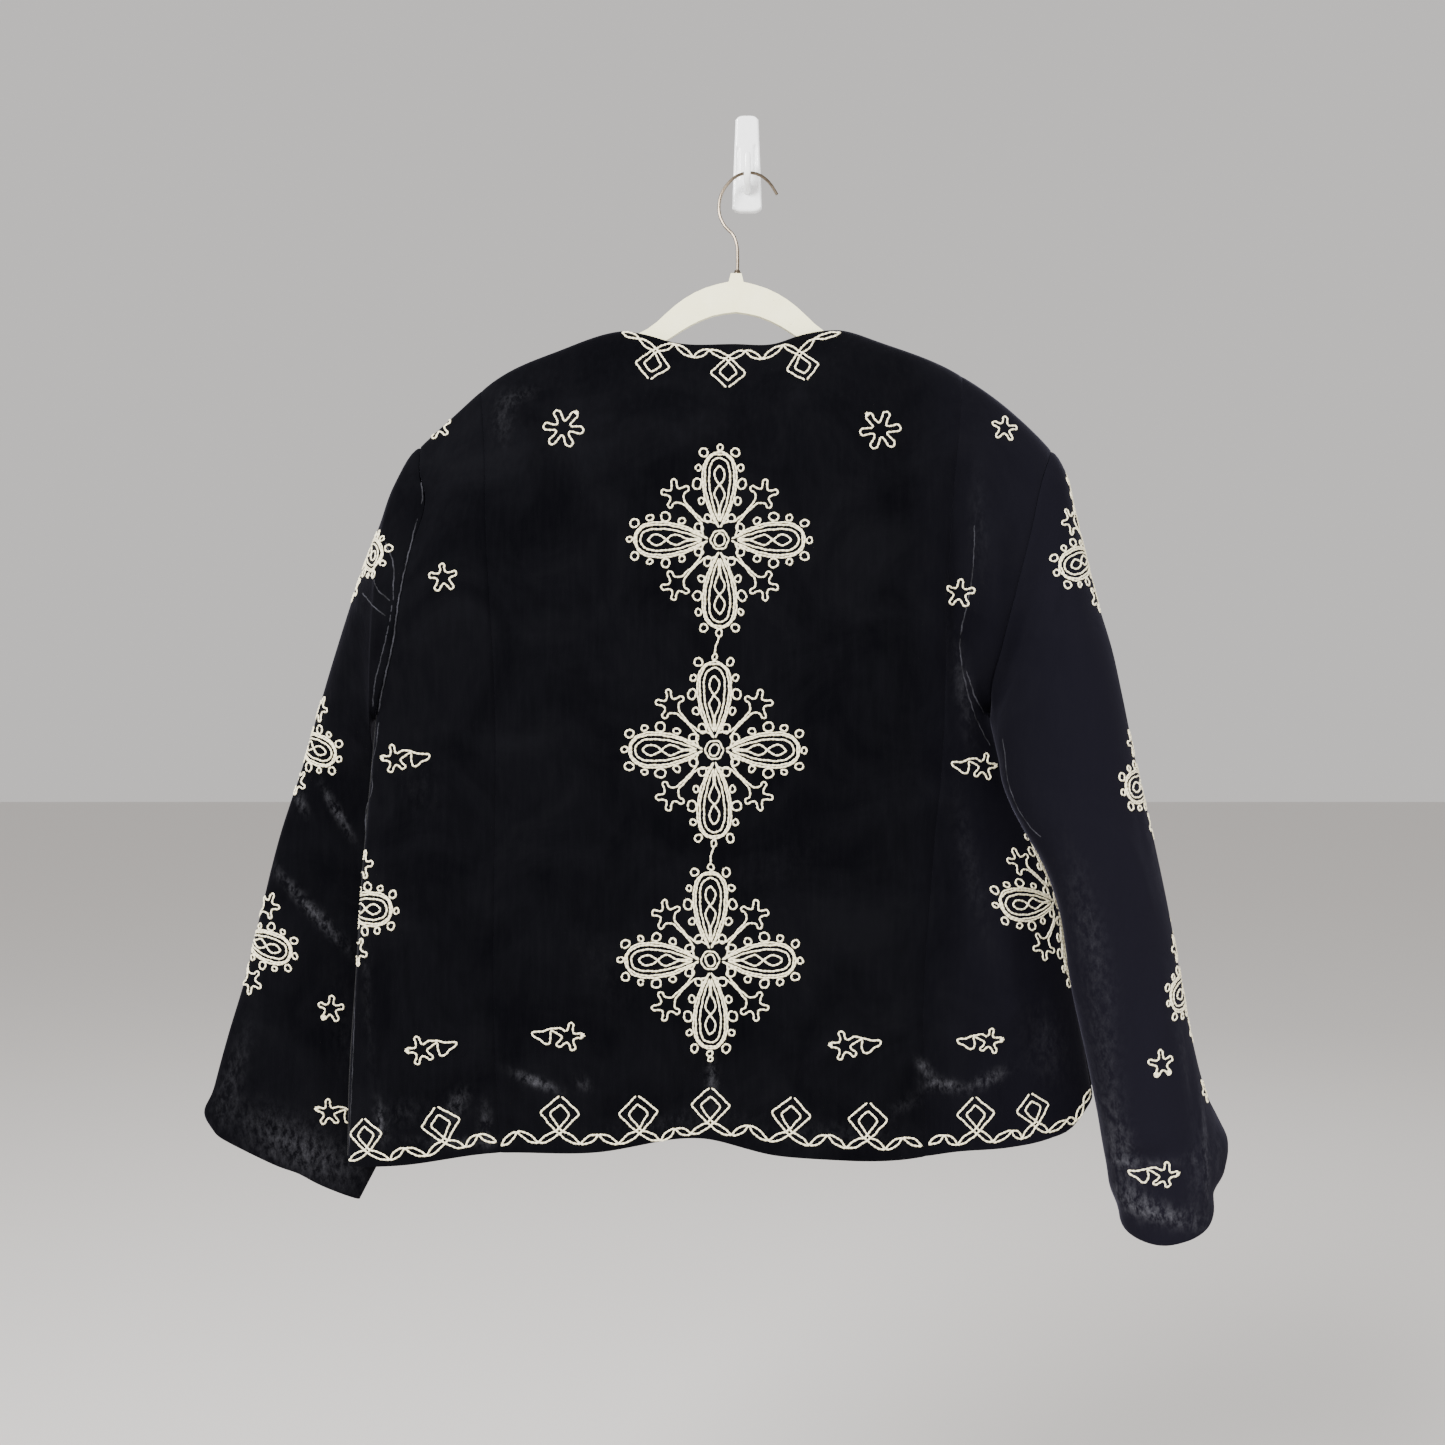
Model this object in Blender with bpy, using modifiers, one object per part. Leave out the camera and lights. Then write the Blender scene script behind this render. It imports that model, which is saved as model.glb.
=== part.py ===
"""Embroidered velvet jacket, hung back outwards on a slim hanger and a wall hook.

Metres, +Z up. The wall is the plane y = 0 and everything hangs in front of it, at
negative y. The origin is the middle of the flat back of the wall hook's plate.
The jacket's back faces -Y. Left and right are as seen from there.

Each cloth piece is a grid of points on the garment's outer surface, worked out from the
tables below, given its wall by Solidify. Sizes in the tables are millimetres.
"""

import math
from collections import namedtuple

import bmesh
import bpy
import numpy as np

MM = 0.001

# The cloth and its seams
CLOTH = 2.0 * MM            # velvet with its backing
SEAM_GAP = 0.3 * MM         # between two sewn pieces
FOLD_HALF = 0.50 * MM       # half the space between front and back where they meet on a fold
FOLD_STRIP = 0.12 * MM      # first strip beside such a fold, nearly square to it
SEAM_STRIP = 2.0 * MM       # first strip beside a seam in the open cloth

# How far the body opens in front of and behind its middle, from its left side to its right
HANG_PLANE = -33.0 * MM     # the hanger's middle plane
LEFT_SIDE, RIGHT_SIDE = -0.31, 0.27
MIDDLE_LEFT, MIDDLE_RIGHT = -61.0 * MM, -36.0 * MM
BACK_LEFT, BACK_RIGHT = 24.0 * MM, 45.0 * MM
FRONT_LEFT, FRONT_RIGHT = 18.0 * MM, 25.0 * MM
SIDE_ROLL = 0.100           # distance from a side fold over which the body opens
BACK_ROLL = 0.130           # the same, below the shoulder line, on the back
FRONT_ROLL = 0.060          # and on the front
MIDDLE_DROP = 0.130         # below the shoulders the middle has moved out to its own plane

# Rows and columns of the cloth pieces
BELOW_ROWS = 14             # below the underarm
BODY_LENGTH = 0.600         # about, down a seam
ARMHOLE_SHARE = 0.37        # of the rows' way down
CENTRE_COLUMNS, CENTRE_WIDTH = 17, 0.35
SIDE_COLUMNS, SIDE_WIDTH = 7, 0.10
FRONT_COLUMNS, FRONT_WIDTH = 13, 0.25
SLEEVE_ROWS = 25
SLEEVE_COLUMNS = 20

# Outlines: x across, z up
Place = namedtuple("Place", "x z")
SHOULDERS = [
    Place(-340, -330), Place(-300, -272), Place(-258, -233), Place(-233, -210), Place(-201, -182),
    Place(-148, -157), Place(-100, -142), Place(-70, -143), Place(-10, -144), Place(45, -142),
    Place(75, -141.5), Place(105, -151), Place(166, -176), Place(206, -204), Place(239, -236),
    Place(270, -275), Place(300, -330),
]
BACK_NECK = [
    Place(-100, -142), Place(-81, -146), Place(-58, -153.5), Place(-10, -155), Place(21, -155),
    Place(42, -147), Place(55, -143.5), Place(75, -141.5),
]
BACK_HEM = [
    Place(-310, -793), Place(-266, -789), Place(-201, -779), Place(-115, -778), Place(-53, -769),
    Place(-35, -769), Place(23, -781), Place(62, -783.5), Place(116, -783.5), Place(158, -778),
    Place(200, -775), Place(230, -770), Place(250, -763), Place(262, -752), Place(272, -743),
]
LEFT_SEAM = [
    Place(-210, -188), Place(-204, -235), Place(-199, -327), Place(-194, -410), Place(-193, -700),
    Place(-189, -779),
]
RIGHT_SEAM = [
    Place(169, -178), Place(160, -250), Place(154, -330), Place(150, -460), Place(141, -560),
    Place(134, -650), Place(135, -780),
]
LEFT_ARMHOLE = [
    Place(-258, -233), Place(-256, -257), Place(-250, -276), Place(-260, -322), Place(-266, -357),
    Place(-276, -410), Place(-288, -445),
]
LEFT_SIDE_SEAM = [
    Place(-288, -445), Place(-293, -500), Place(-299, -570), Place(-304, -650), Place(-309, -730),
    Place(-310, -793),
]
RIGHT_ARMHOLE = [
    Place(239, -236), Place(229, -258), Place(216, -305), Place(204, -350), Place(194, -390),
    Place(188, -428), Place(190, -444),
]
RIGHT_SIDE_SEAM = [
    Place(190, -444), Place(199, -470), Place(209, -500), Place(226, -540), Place(240, -580),
    Place(252, -630), Place(261, -680), Place(267, -715), Place(272, -743),
]
FRONT_OPENING = 14.0        # between the two fronts
FRONT_MIDDLE = -14.0        # x of the opening
FRONT_NECK_DROP = -238.0    # z of the neckline at the opening
FRONT_HEM = -776.0          # z of the back's hem behind the opening
FRONT_HEM_LIFT = 7.0        # the fronts end this much higher than the back

# Largest folds of the body's back: a line, how wide and how far out of the cloth
Fold = namedtuple("Fold", "x0 z0 x1 z1 width out")
BACK_FOLDS = [
    Fold(166, -225, 165, -455, 14, -10),
    Fold(188, -280, 184, -430, 16, 8),
    Fold(148, -500, 168, -660, 16, -7),
    Fold(196, -560, 214, -700, 20, 6),
    Fold(77, -275, 14, -384, 14, 3),
    Fold(-140, -620, -93, -719, 16, -4),
    Fold(-38, -700, -44, -800, 26, -6),
    Fold(90, -690, 95, -800, 40, 6),
    Fold(-240, -520, -250, -790, 24, 5),
]
FRONT_FOLDS = [
    Fold(-120, -300, -130, -780, 30, 7),
    Fold(70, -330, 90, -780, 30, 7),
    Fold(-200, -560, -215, -790, 22, -5),
    Fold(150, -520, 165, -770, 22, -5),
]

# Sleeve sections from the armhole down. Outer and inner edge, how deep the section is either
# side of the line between them, and how far its camera side hangs below that line.
Section = namedtuple("Section", "outer_x outer_z outer_y inner_x inner_z inner_y back front lean")
LEFT_SLEEVE = [
    Section(-277, -262, -36, -291, -451, -56, 34, 24, 0),
    Section(-288, -292, -36, -292, -462, -51, 33, 22, 0),
    Section(-303, -330, -35, -291, -476, -45, 30, 20, 0),
    Section(-325, -395, -33, -286, -492, -38, 25, 18, 0),
    Section(-339, -440, -31, -279, -508, -32, 21, 17, 0),
    Section(-352, -484, -29, -269, -534, -27, 19, 16, 0),
    Section(-370, -538, -28, -259, -572, -25, 18, 16, 0),
    Section(-385, -597, -28, -255, -622, -25, 18, 16, 0),
    Section(-398, -653, -29, -258, -676, -26, 18, 16, 0),
    Section(-411, -698, -31, -267, -730, -27, 18, 16, 0),
    Section(-422, -741, -33, -285, -784, -29, 17, 15, 0),
    Section(-428, -771, -34, -307, -828, -31, 15, 13, -1),
]
RIGHT_SLEEVE = [
    Section(248, -250, -38, 195, -448, -44, 42, 26, 0),
    Section(256, -285, -42, 195, -456, -52, 42, 27, 0),
    Section(264, -322, -47, 193, -467, -61, 42, 28, 0),
    Section(272, -358, -53, 193, -480, -68, 41, 30, 0),
    Section(281, -393, -60, 194, -495, -76, 39, 33, 0),
    Section(288, -431, -66, 199, -512, -83, 38, 34, 0),
    Section(296, -478, -72, 208, -532, -91, 38, 33, 0),
    Section(307, -531, -77, 223, -560, -96, 38, 33, 0),
    Section(318, -586, -80, 235, -597, -97, 38, 34, 0),
    Section(328, -642, -82, 243, -650, -96, 38, 34, 4),
    Section(337, -690, -82, 254, -700, -95, 38, 34, 10),
    Section(349, -733, -80, 263, -745, -94, 38, 34, 20),
    Section(366, -774, -76, 272, -789, -92, 38, 32, 30),
    Section(361, -792, -76, 283, -820, -91, 36, 30, 29),
]
SLEEVE_START = 1.0 * MM     # first strip of a sleeve, in line with the body's surface
SLEEVE_LEAD = 14.0          # how far back on the body a sleeve takes its direction from

# Hanger, seen from the front
HANGER_THICK = 5.5 * MM
HANGER_MIDDLE = -8.0        # x of its neck
HANGER_TILT = math.radians(0.6)
HANGER_TOP = [
    Place(-213, -208.5), Place(-188, -187), Place(-138, -162.4), Place(-98, -148.3), Place(-76, -144.8),
    Place(-62, -135.5), Place(-51, -125), Place(-38, -115.2), Place(-23, -107.8), Place(-5.8, -103.2),
]
HANGER_STEPS = 26           # points along each edge of an arm
HANGER_BOTTOM = [
    Place(-214, -224), Place(-182, -211), Place(-135, -188), Place(-88, -169), Place(-53, -149),
    Place(-36, -138), Place(-16, -129.5), Place(0, -127),
]
NECK_TOP_HALF, NECK_HEIGHT = 4.2, 6.7
HANGER_EDGE = 1.5 * MM      # rounding along its edges

# Wire hook, from its free end to the hanger's neck: x across, z up, y out from the wall
Bend = namedtuple("Bend", "x z y")
WIRE_RADIUS = 1.3 * MM
WIRE = [
    Bend(24, -28, -15), Bend(18, -18.8, -15.5), Bend(9, -12.2, -16), Bend(0, -10.9, -16.2),
    Bend(-8, -13.4, -16.4), Bend(-15.5, -20, -17), Bend(-20.6, -28.5, -18), Bend(-22.5, -37.5, -19.3),
    Bend(-21.9, -46.5, -20.8), Bend(-17.5, -56, -22.5), Bend(-11.2, -63, -24), Bend(-8.4, -71, -26),
    Bend(-7.8, -82, -28.5), Bend(-8, -96.2, -31.8),
]

# Wall hook
PLATE_HALF_HEIGHT = 39.0 * MM
PLATE_TOP_HALF = 9.3 * MM
PLATE_BOTTOM_HALF = 12.0 * MM
PLATE_THICK = 6.0 * MM
PLATE_ARC = 0.09            # share of its half height by which a corner is lower than its middle
PLATE_EDGE = 1.5 * MM
PRONG_WIDTH = 5.4 * MM
PRONG_EDGE = 1.0 * MM
PRONG_REACH = 21.8 * MM     # front of the prong, from the wall
PRONG_UPRIGHT = 3.9 * MM    # thickness of its upright part
PRONG_TOP = 4.0 * MM
PRONG_SEAT = -13.0 * MM     # height of the seat that the wire rests on
PRONG_BOTTOM = -25.0 * MM


def spline(knots, values, at):
    """Smooth curve through values at rising knots, straight past its ends."""
    knots = np.asarray(knots, dtype=float)
    values = np.asarray(values, dtype=float)
    at = np.asarray(at, dtype=float)
    slopes = np.gradient(values, knots, axis=0)
    index = np.clip(np.searchsorted(knots, at, side="right") - 1, 0, len(knots) - 2)
    width = (knots[index + 1] - knots[index])
    step = (at - knots[index]) / width
    inside = np.clip(step, 0.0, 1.0)
    extra = (step - inside) * width
    if values.ndim > 1:
        shape = step.shape + (1,) * (values.ndim - 1)
        inside, extra, width = inside.reshape(shape), extra.reshape(shape), width.reshape(shape)
    start, end = values[index], values[index + 1]
    square, cube = inside ** 2, inside ** 3
    curve = (2 * cube - 3 * square + 1) * start + (3 * square - 2 * cube) * end
    curve = curve + (cube - 2 * square + inside) * width * slopes[index]
    curve = curve + (cube - square) * width * slopes[index + 1]
    return curve + extra * np.where(extra > 0, slopes[index + 1], slopes[index])


def height_at(places, x):
    """Height of an outline that runs across, at x (metres)."""
    return spline([p.x * MM for p in places], [p.z * MM for p in places], x)


def across_at(places, z):
    """Distance across of an outline that runs down, at z (metres)."""
    down = places[::-1]
    return spline([p.z * MM for p in down], [p.x * MM for p in down], z)


def along(places, fractions):
    """Points (x, z) at fractions of the length of an outline."""
    points = np.array([(p.x * MM, p.z * MM) for p in places])
    steps = np.hypot(*np.diff(points, axis=0).T)
    lengths = np.concatenate([[0.0], np.cumsum(steps)])
    return spline(lengths / lengths[-1], points, fractions)


def ease(value):
    """Smooth step from 0 to 1."""
    value = np.clip(value, 0.0, 1.0)
    return value * value * (3.0 - 2.0 * value)


def rolled(distance, reach):
    """Share of its full depth that cloth has at a distance from its fold."""
    near = np.clip(distance / reach, 0.0, 1.0)
    return np.sqrt(1.0 - (1.0 - near) ** 2)


def side_distance(x, z, seam, inward):
    """Distance from a side fold, or from its upper end at the underarm above that."""
    under = seam[0]
    beside = (x - across_at(seam, z)) * inward
    above = np.hypot(x - under.x * MM, z - under.z * MM)
    return np.maximum(np.where(z < under.z * MM, beside, above), 0.0)


def folds_out(x, z, folds):
    """How far the folds push the cloth out at (x, z)."""
    total = np.zeros(np.broadcast(x, z).shape)
    for fold in folds:
        start = np.array([fold.x0, fold.z0]) * MM
        run = np.array([fold.x1, fold.z1]) * MM - start
        length = math.hypot(*run)
        unit = run / length
        ahead = (x - start[0]) * unit[0] + (z - start[1]) * unit[1]
        aside = (x - start[0]) * unit[1] - (z - start[1]) * unit[0]
        share = ahead / length
        fade = ease(share / 0.25) * ease((1.0 - share) / 0.25)
        total = total + fold.out * MM * fade * np.exp(-(aside / (fold.width * MM)) ** 2)
    return total


def body_surface(x, z, facing):
    """y of the body's outer surface at (x, z): facing -1 is the back, +1 the front."""
    across = np.clip((x - LEFT_SIDE) / (RIGHT_SIDE - LEFT_SIDE), 0.0, 1.0)
    below = np.maximum(height_at(SHOULDERS, x) - z, 0.0)
    side = rolled(side_distance(x, z, LEFT_SIDE_SEAM, 1.0), SIDE_ROLL)
    side = side * rolled(side_distance(x, z, RIGHT_SIDE_SEAM, -1.0), SIDE_ROLL)
    out_plane = MIDDLE_LEFT + (MIDDLE_RIGHT - MIDDLE_LEFT) * across
    middle = HANG_PLANE + (out_plane - HANG_PLANE) * ease(below / MIDDLE_DROP)
    if facing < 0:
        depth = BACK_LEFT + (BACK_RIGHT - BACK_LEFT) * across
        top, folds = rolled(below, BACK_ROLL), BACK_FOLDS
    else:
        depth = FRONT_LEFT + (FRONT_RIGHT - FRONT_LEFT) * across
        top, folds = rolled(below, FRONT_ROLL), FRONT_FOLDS
    bulge = depth * side * top
    bulge = bulge + folds_out(x, z, folds) * np.minimum(side, top)
    return middle + facing * (bulge + FOLD_HALF)


def patch(top, bottom, left, right, rows, columns):
    """Flat grid of (x, z) between four edges given at the columns and rows (Coons patch)."""
    down = rows[:, None, None]
    over = columns[None, :, None]
    grid = (1 - down) * top[None, :, :] + down * bottom[None, :, :]
    grid = grid + (1 - over) * left[:, None, :] + over * right[:, None, :]
    corners = (1 - down) * ((1 - over) * top[0] + over * top[-1])
    corners = corners + down * ((1 - over) * bottom[0] + over * bottom[-1])
    return grid - corners


def half_turns():
    """Angles down one half of an armhole, from the shoulder to the underarm."""
    return np.linspace(0.0, math.pi, SLEEVE_COLUMNS // 2 + 1)


def body_rows():
    """Fractions down the body: the armhole's own points, then even steps to the hem."""
    armhole = ARMHOLE_SHARE * (1.0 - np.cos(half_turns())) / 2
    side = np.linspace(ARMHOLE_SHARE, 1.0, BELOW_ROWS + 1)[1:]
    return np.concatenate([armhole[:1], [FOLD_STRIP / BODY_LENGTH], armhole[1:], side])


def columns_to_fold(count, width):
    """Fractions across a piece from its seam to its side fold, closer together at the fold."""
    even = np.sin(np.linspace(0.0, math.pi / 2, count))
    return np.concatenate([[0.0, SEAM_STRIP / width], even[1:-1], [1.0 - FOLD_STRIP / width, 1.0]])


def outer_edge(armhole, side_seam, rows):
    """Points down an armhole and then down the side seam below it."""
    on_armhole = rows <= ARMHOLE_SHARE + 1e-9
    upper = along(armhole, rows[on_armhole] / ARMHOLE_SHARE)
    lower = along(side_seam, (rows[~on_armhole] - ARMHOLE_SHARE) / (1.0 - ARMHOLE_SHARE))
    return np.concatenate([upper, lower])


def grid_mesh(name, points, closed=False):
    """Mesh of the quads between neighbouring points of a grid."""
    rows, columns = points.shape[:2]
    wrap = columns if closed else columns - 1
    faces = []
    for row in range(rows - 1):
        for column in range(wrap):
            after = (column + 1) % columns
            faces.append((row * columns + column, (row + 1) * columns + column,
                          (row + 1) * columns + after, row * columns + after))
    mesh = bpy.data.meshes.new(name)
    mesh.from_pydata(points.reshape(-1, 3).tolist(), [], faces)
    return mesh


def plain_material(name, colour, roughness, metallic=0.0):
    """One Principled material."""
    material = bpy.data.materials.new(name)
    material.use_nodes = True
    shader = material.node_tree.nodes["Principled BSDF"]
    shader.inputs["Base Color"].default_value = (*colour, 1.0)
    shader.inputs["Roughness"].default_value = roughness
    shader.inputs["Metallic"].default_value = metallic
    return material


def place_object(name, data, material):
    """Object in the jacket's collection, with its material."""
    thing = bpy.data.objects.new(name, data)
    data.materials.append(material)
    parts.objects.link(thing)
    return thing


def cloth_piece(name, points, closed=False):
    """Cloth with a wall of one thickness, inwards from its outer surface."""
    mesh = grid_mesh(name, points, closed)
    mesh.shade_smooth()
    piece = place_object(name, mesh, velvet)
    wall = piece.modifiers.new("Wall", "SOLIDIFY")
    wall.thickness = CLOTH
    wall.offset = -1.0
    return piece


def trimmed(edge, shift):
    """An edge moved across by half a seam's gap."""
    return edge + np.array([shift * SEAM_GAP / 2, 0.0])


def fitted(edge, rows, first, last):
    """An edge eased up or down so that it starts and ends at two given points."""
    down = rows[:, None]
    return edge + (first - edge[0]) * (1.0 - down) + (last - edge[-1]) * down


def back_centre():
    """Middle of the back, between the two shaped seams, with the back neckline."""
    rows = body_rows()
    even = np.linspace(0.0, 1.0, CENTRE_COLUMNS)
    strip = SEAM_STRIP / CENTRE_WIDTH
    columns = np.concatenate([[0.0, strip], even[1:-1], [1.0 - strip, 1.0]])
    left = trimmed(along(LEFT_SEAM, rows), 1)
    right = trimmed(along(RIGHT_SEAM, rows), -1)
    across = left[0, 0] + (right[0, 0] - left[0, 0]) * columns
    neck_start, neck_end = BACK_NECK[0].x * MM, BACK_NECK[-1].x * MM
    on_neck = (across > neck_start) & (across < neck_end)
    rise = np.where(on_neck, height_at(BACK_NECK, across), height_at(SHOULDERS, across))
    top = np.stack([across, rise], axis=1)
    across = left[-1, 0] + (right[-1, 0] - left[-1, 0]) * columns
    bottom = np.stack([across, height_at(BACK_HEM, across)], axis=1)
    left = fitted(left, rows, top[0], bottom[0])
    right = fitted(right, rows, top[-1], bottom[-1])
    flat = patch(top, bottom, left, right, rows, columns)
    return surface_grid(flat, -1)


def surface_grid(flat, facing):
    """Points of the body's surface over a flat grid, in an order that faces outwards."""
    depth = body_surface(flat[..., 0], flat[..., 1], facing)
    points = np.stack([flat[..., 0], depth, flat[..., 1]], axis=-1)
    return points if facing < 0 else points[:, ::-1]


def back_side(seam, armhole, side_seam, outward):
    """Side back, from the shaped seam out to the armhole and the side fold."""
    rows = body_rows()
    columns = columns_to_fold(SIDE_COLUMNS, SIDE_WIDTH)
    inner = trimmed(along(seam, rows), outward)
    outer = outer_edge(armhole, side_seam, rows)
    across = inner[0, 0] + (outer[0, 0] - inner[0, 0]) * columns
    top = np.stack([across, height_at(SHOULDERS, across)], axis=1)
    across = inner[-1, 0] + (outer[-1, 0] - inner[-1, 0]) * columns
    bottom = np.stack([across, height_at(BACK_HEM, across)], axis=1)
    inner = fitted(inner, rows, top[0], bottom[0])
    outer[0], outer[-1] = top[-1], bottom[-1]
    flat = patch(top, bottom, inner, outer, rows, columns)
    if outward < 0:
        flat = flat[:, ::-1]
    return surface_grid(flat, -1)


def front(armhole, side_seam, neck_point, outward):
    """Plain front, from the opening out to the armhole and the side fold."""
    rows = body_rows()
    columns = columns_to_fold(FRONT_COLUMNS, FRONT_WIDTH)
    edge_x = FRONT_MIDDLE + outward * FRONT_OPENING / 2
    hem = BACK_HEM[0].z if outward < 0 else BACK_HEM[-1].z
    middle_hem = FRONT_HEM + FRONT_HEM_LIFT
    reach = neck_point.x - edge_x
    drop = neck_point.z - FRONT_NECK_DROP
    opening = [Place(edge_x + reach * math.cos(turn), neck_point.z - drop * math.sin(turn))
               for turn in np.linspace(0.0, math.pi / 2, 7)]
    opening += [Place(edge_x, FRONT_NECK_DROP + (middle_hem - FRONT_NECK_DROP) * share)
                for share in (0.12, 0.4, 0.7, 1.0)]
    inner = along(opening, rows)
    side = side_seam[:-1] + [Place(side_seam[-1].x, hem + FRONT_HEM_LIFT)]
    outer = outer_edge(armhole, side, rows)
    across = inner[0, 0] + (outer[0, 0] - inner[0, 0]) * columns
    top = np.stack([across, height_at(SHOULDERS, across)], axis=1)
    across = inner[-1, 0] + (outer[-1, 0] - inner[-1, 0]) * columns
    lift = height_at(BACK_HEM, across) + FRONT_HEM_LIFT * MM
    bottom = np.stack([across, lift], axis=1)
    inner = fitted(inner, rows, top[0], bottom[0])
    outer[0], outer[-1] = top[-1], bottom[-1]
    flat = patch(top, bottom, inner, outer, rows, columns)
    if outward < 0:
        flat = flat[:, ::-1]
    return surface_grid(flat, 1)


def armhole_ring(armhole, turns, outward, shift):
    """The armhole's edge as a closed ring on the body, moved across by a shift."""
    places = along(armhole, (1.0 - np.cos(turns)) / 2)
    x, z = places[:, 0], places[:, 1]
    back, front_side = body_surface(x, z, -1), body_surface(x, z, 1)
    y = np.where(np.sin(turns) > 0, back, front_side)
    y = np.where(np.abs(np.sin(turns)) < 1e-6, (back + front_side) / 2, y)
    return np.stack([x + outward * shift, y, z], axis=1)


def sleeve(armhole, sections, outward):
    """Sleeve lofted through its sections, leaving the body along the armhole."""
    turns = np.concatenate([half_turns(), math.pi + half_turns()[1:-1]])
    start = armhole_ring(armhole, turns, outward, 2.0 * SEAM_GAP)
    under = ((1.0 - np.cos(turns)) / 2)[:, None] ** 3
    before = armhole_ring(armhole, turns, outward, -SLEEVE_LEAD * MM) * (1.0 - under)
    before = before + (start + np.array([0.0, 0.0, SLEEVE_LEAD * MM])) * under
    rings = [before, start]
    for part in sections:
        outer = np.array([part.outer_x, part.outer_y, part.outer_z]) * MM
        inner = np.array([part.inner_x, part.inner_y, part.inner_z]) * MM
        blend = ((1.0 + np.cos(turns)) / 2)[:, None]
        ring = outer * blend + inner * (1.0 - blend)
        sine = np.sin(turns)
        ring[:, 1] -= np.where(sine > 0, part.back, part.front) * MM * sine
        ring[:, 2] -= part.lean * MM * sine
        rings.append(ring)
    rings = np.array(rings)
    steps = np.linalg.norm(np.diff(rings, axis=0), axis=2).mean(axis=1)
    knots = np.concatenate([[0.0], np.cumsum(steps)]) - steps[0]
    down = np.linspace(0.0, 1.0, SLEEVE_ROWS)
    down = 0.75 * down + 0.25 * down ** 2
    down = np.insert(down, 1, SLEEVE_START / knots[-1])
    points = spline(knots, rings, down * knots[-1])
    return points if outward < 0 else points[:, ::-1]


def hanger():
    """Flat moulded arms and neck: one outline, mirrored about the neck."""
    steps = np.linspace(0.0, 1.0, HANGER_STEPS)
    half = (along(HANGER_TOP, steps) / MM).tolist()
    half.append((-NECK_TOP_HALF, half[-1][1] + NECK_HEIGHT))
    low = (along(HANGER_BOTTOM, steps) / MM).tolist()
    outline = half + [(-x, z) for x, z in reversed(half)]
    outline += [(-x, z) for x, z in low]
    outline += [(x, z) for x, z in reversed(low[:-1])]
    return flat_solid("hanger", outline, HANGER_THICK, (HANGER_MIDDLE * MM, HANG_PLANE, 0.0),
                      (math.pi / 2, HANGER_TILT, 0.0), HANGER_EDGE, parts, flocked_plastic)


def hanger_wire():
    """Steel wire, bent to a hook that ends just above the hanger's neck."""
    route = np.array([(p.x, p.y, p.z) for p in WIRE]) * MM
    steps = np.linalg.norm(np.diff(route, axis=0), axis=1)
    lengths = np.concatenate([[0.0], np.cumsum(steps)])
    points = spline(lengths, route, np.linspace(0.0, lengths[-1], 34))
    curve = bpy.data.curves.new("hanger_wire", "CURVE")
    curve.dimensions = "3D"
    curve.bevel_depth = WIRE_RADIUS
    curve.bevel_resolution = 2
    curve.use_fill_caps = True
    line = curve.splines.new("POLY")
    line.points.add(len(points) - 1)
    for point, place in zip(line.points, points):
        point.co = (*place, 1.0)
    return place_object("hanger_wire", curve, steel)


def plate_outline():
    """Plate: slightly wider below, with low arcs for its top and bottom."""
    points = []
    for side, half, height in ((1, PLATE_TOP_HALF, PLATE_HALF_HEIGHT),
                               (-1, PLATE_BOTTOM_HALF, -PLATE_HALF_HEIGHT)):
        for share in np.linspace(side, -side, 9):
            points.append((half * share, height * (1.0 - PLATE_ARC * share ** 4)))
    return points


def wall_hook():
    """Moulded plate with the prong that carries the wire, joined into one solid."""
    outline = [(x / MM, z / MM) for x, z in plate_outline()]
    plate = flat_solid("wall_hook", outline, PLATE_THICK, (0.0, -PLATE_THICK / 2, 0.0),
                       (math.pi / 2, 0.0, 0.0), PLATE_EDGE, parts, white_plastic)
    inner = -PRONG_REACH + PRONG_UPRIGHT
    side_view = [
        (-PLATE_THICK + 1.0 * MM, PRONG_SEAT), (inner, PRONG_SEAT), (inner, PRONG_TOP),
        (-PRONG_REACH + 1.2 * MM, PRONG_TOP + 1.0 * MM), (-PRONG_REACH, PRONG_TOP - 1.0 * MM),
        (-PRONG_REACH, PRONG_SEAT - 2.5 * MM), (-PRONG_REACH + 3.5 * MM, PRONG_SEAT - 6.5 * MM),
        (-PLATE_THICK - 2.0 * MM, PRONG_BOTTOM), (-PLATE_THICK + 1.0 * MM, PRONG_BOTTOM),
    ]
    prong = flat_solid("prong", [(y / MM, z / MM) for y, z in side_view], PRONG_WIDTH,
                       (0.0, 0.0, 0.0), (math.pi / 2, 0.0, math.pi / 2), PRONG_EDGE, cutters,
                       white_plastic)
    prong.hide_render = True
    prong.display_type = "WIRE"
    join = plate.modifiers.new("Prong", "BOOLEAN")
    join.operation = "UNION"
    join.solver = "EXACT"
    join.object = prong
    return plate


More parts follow.
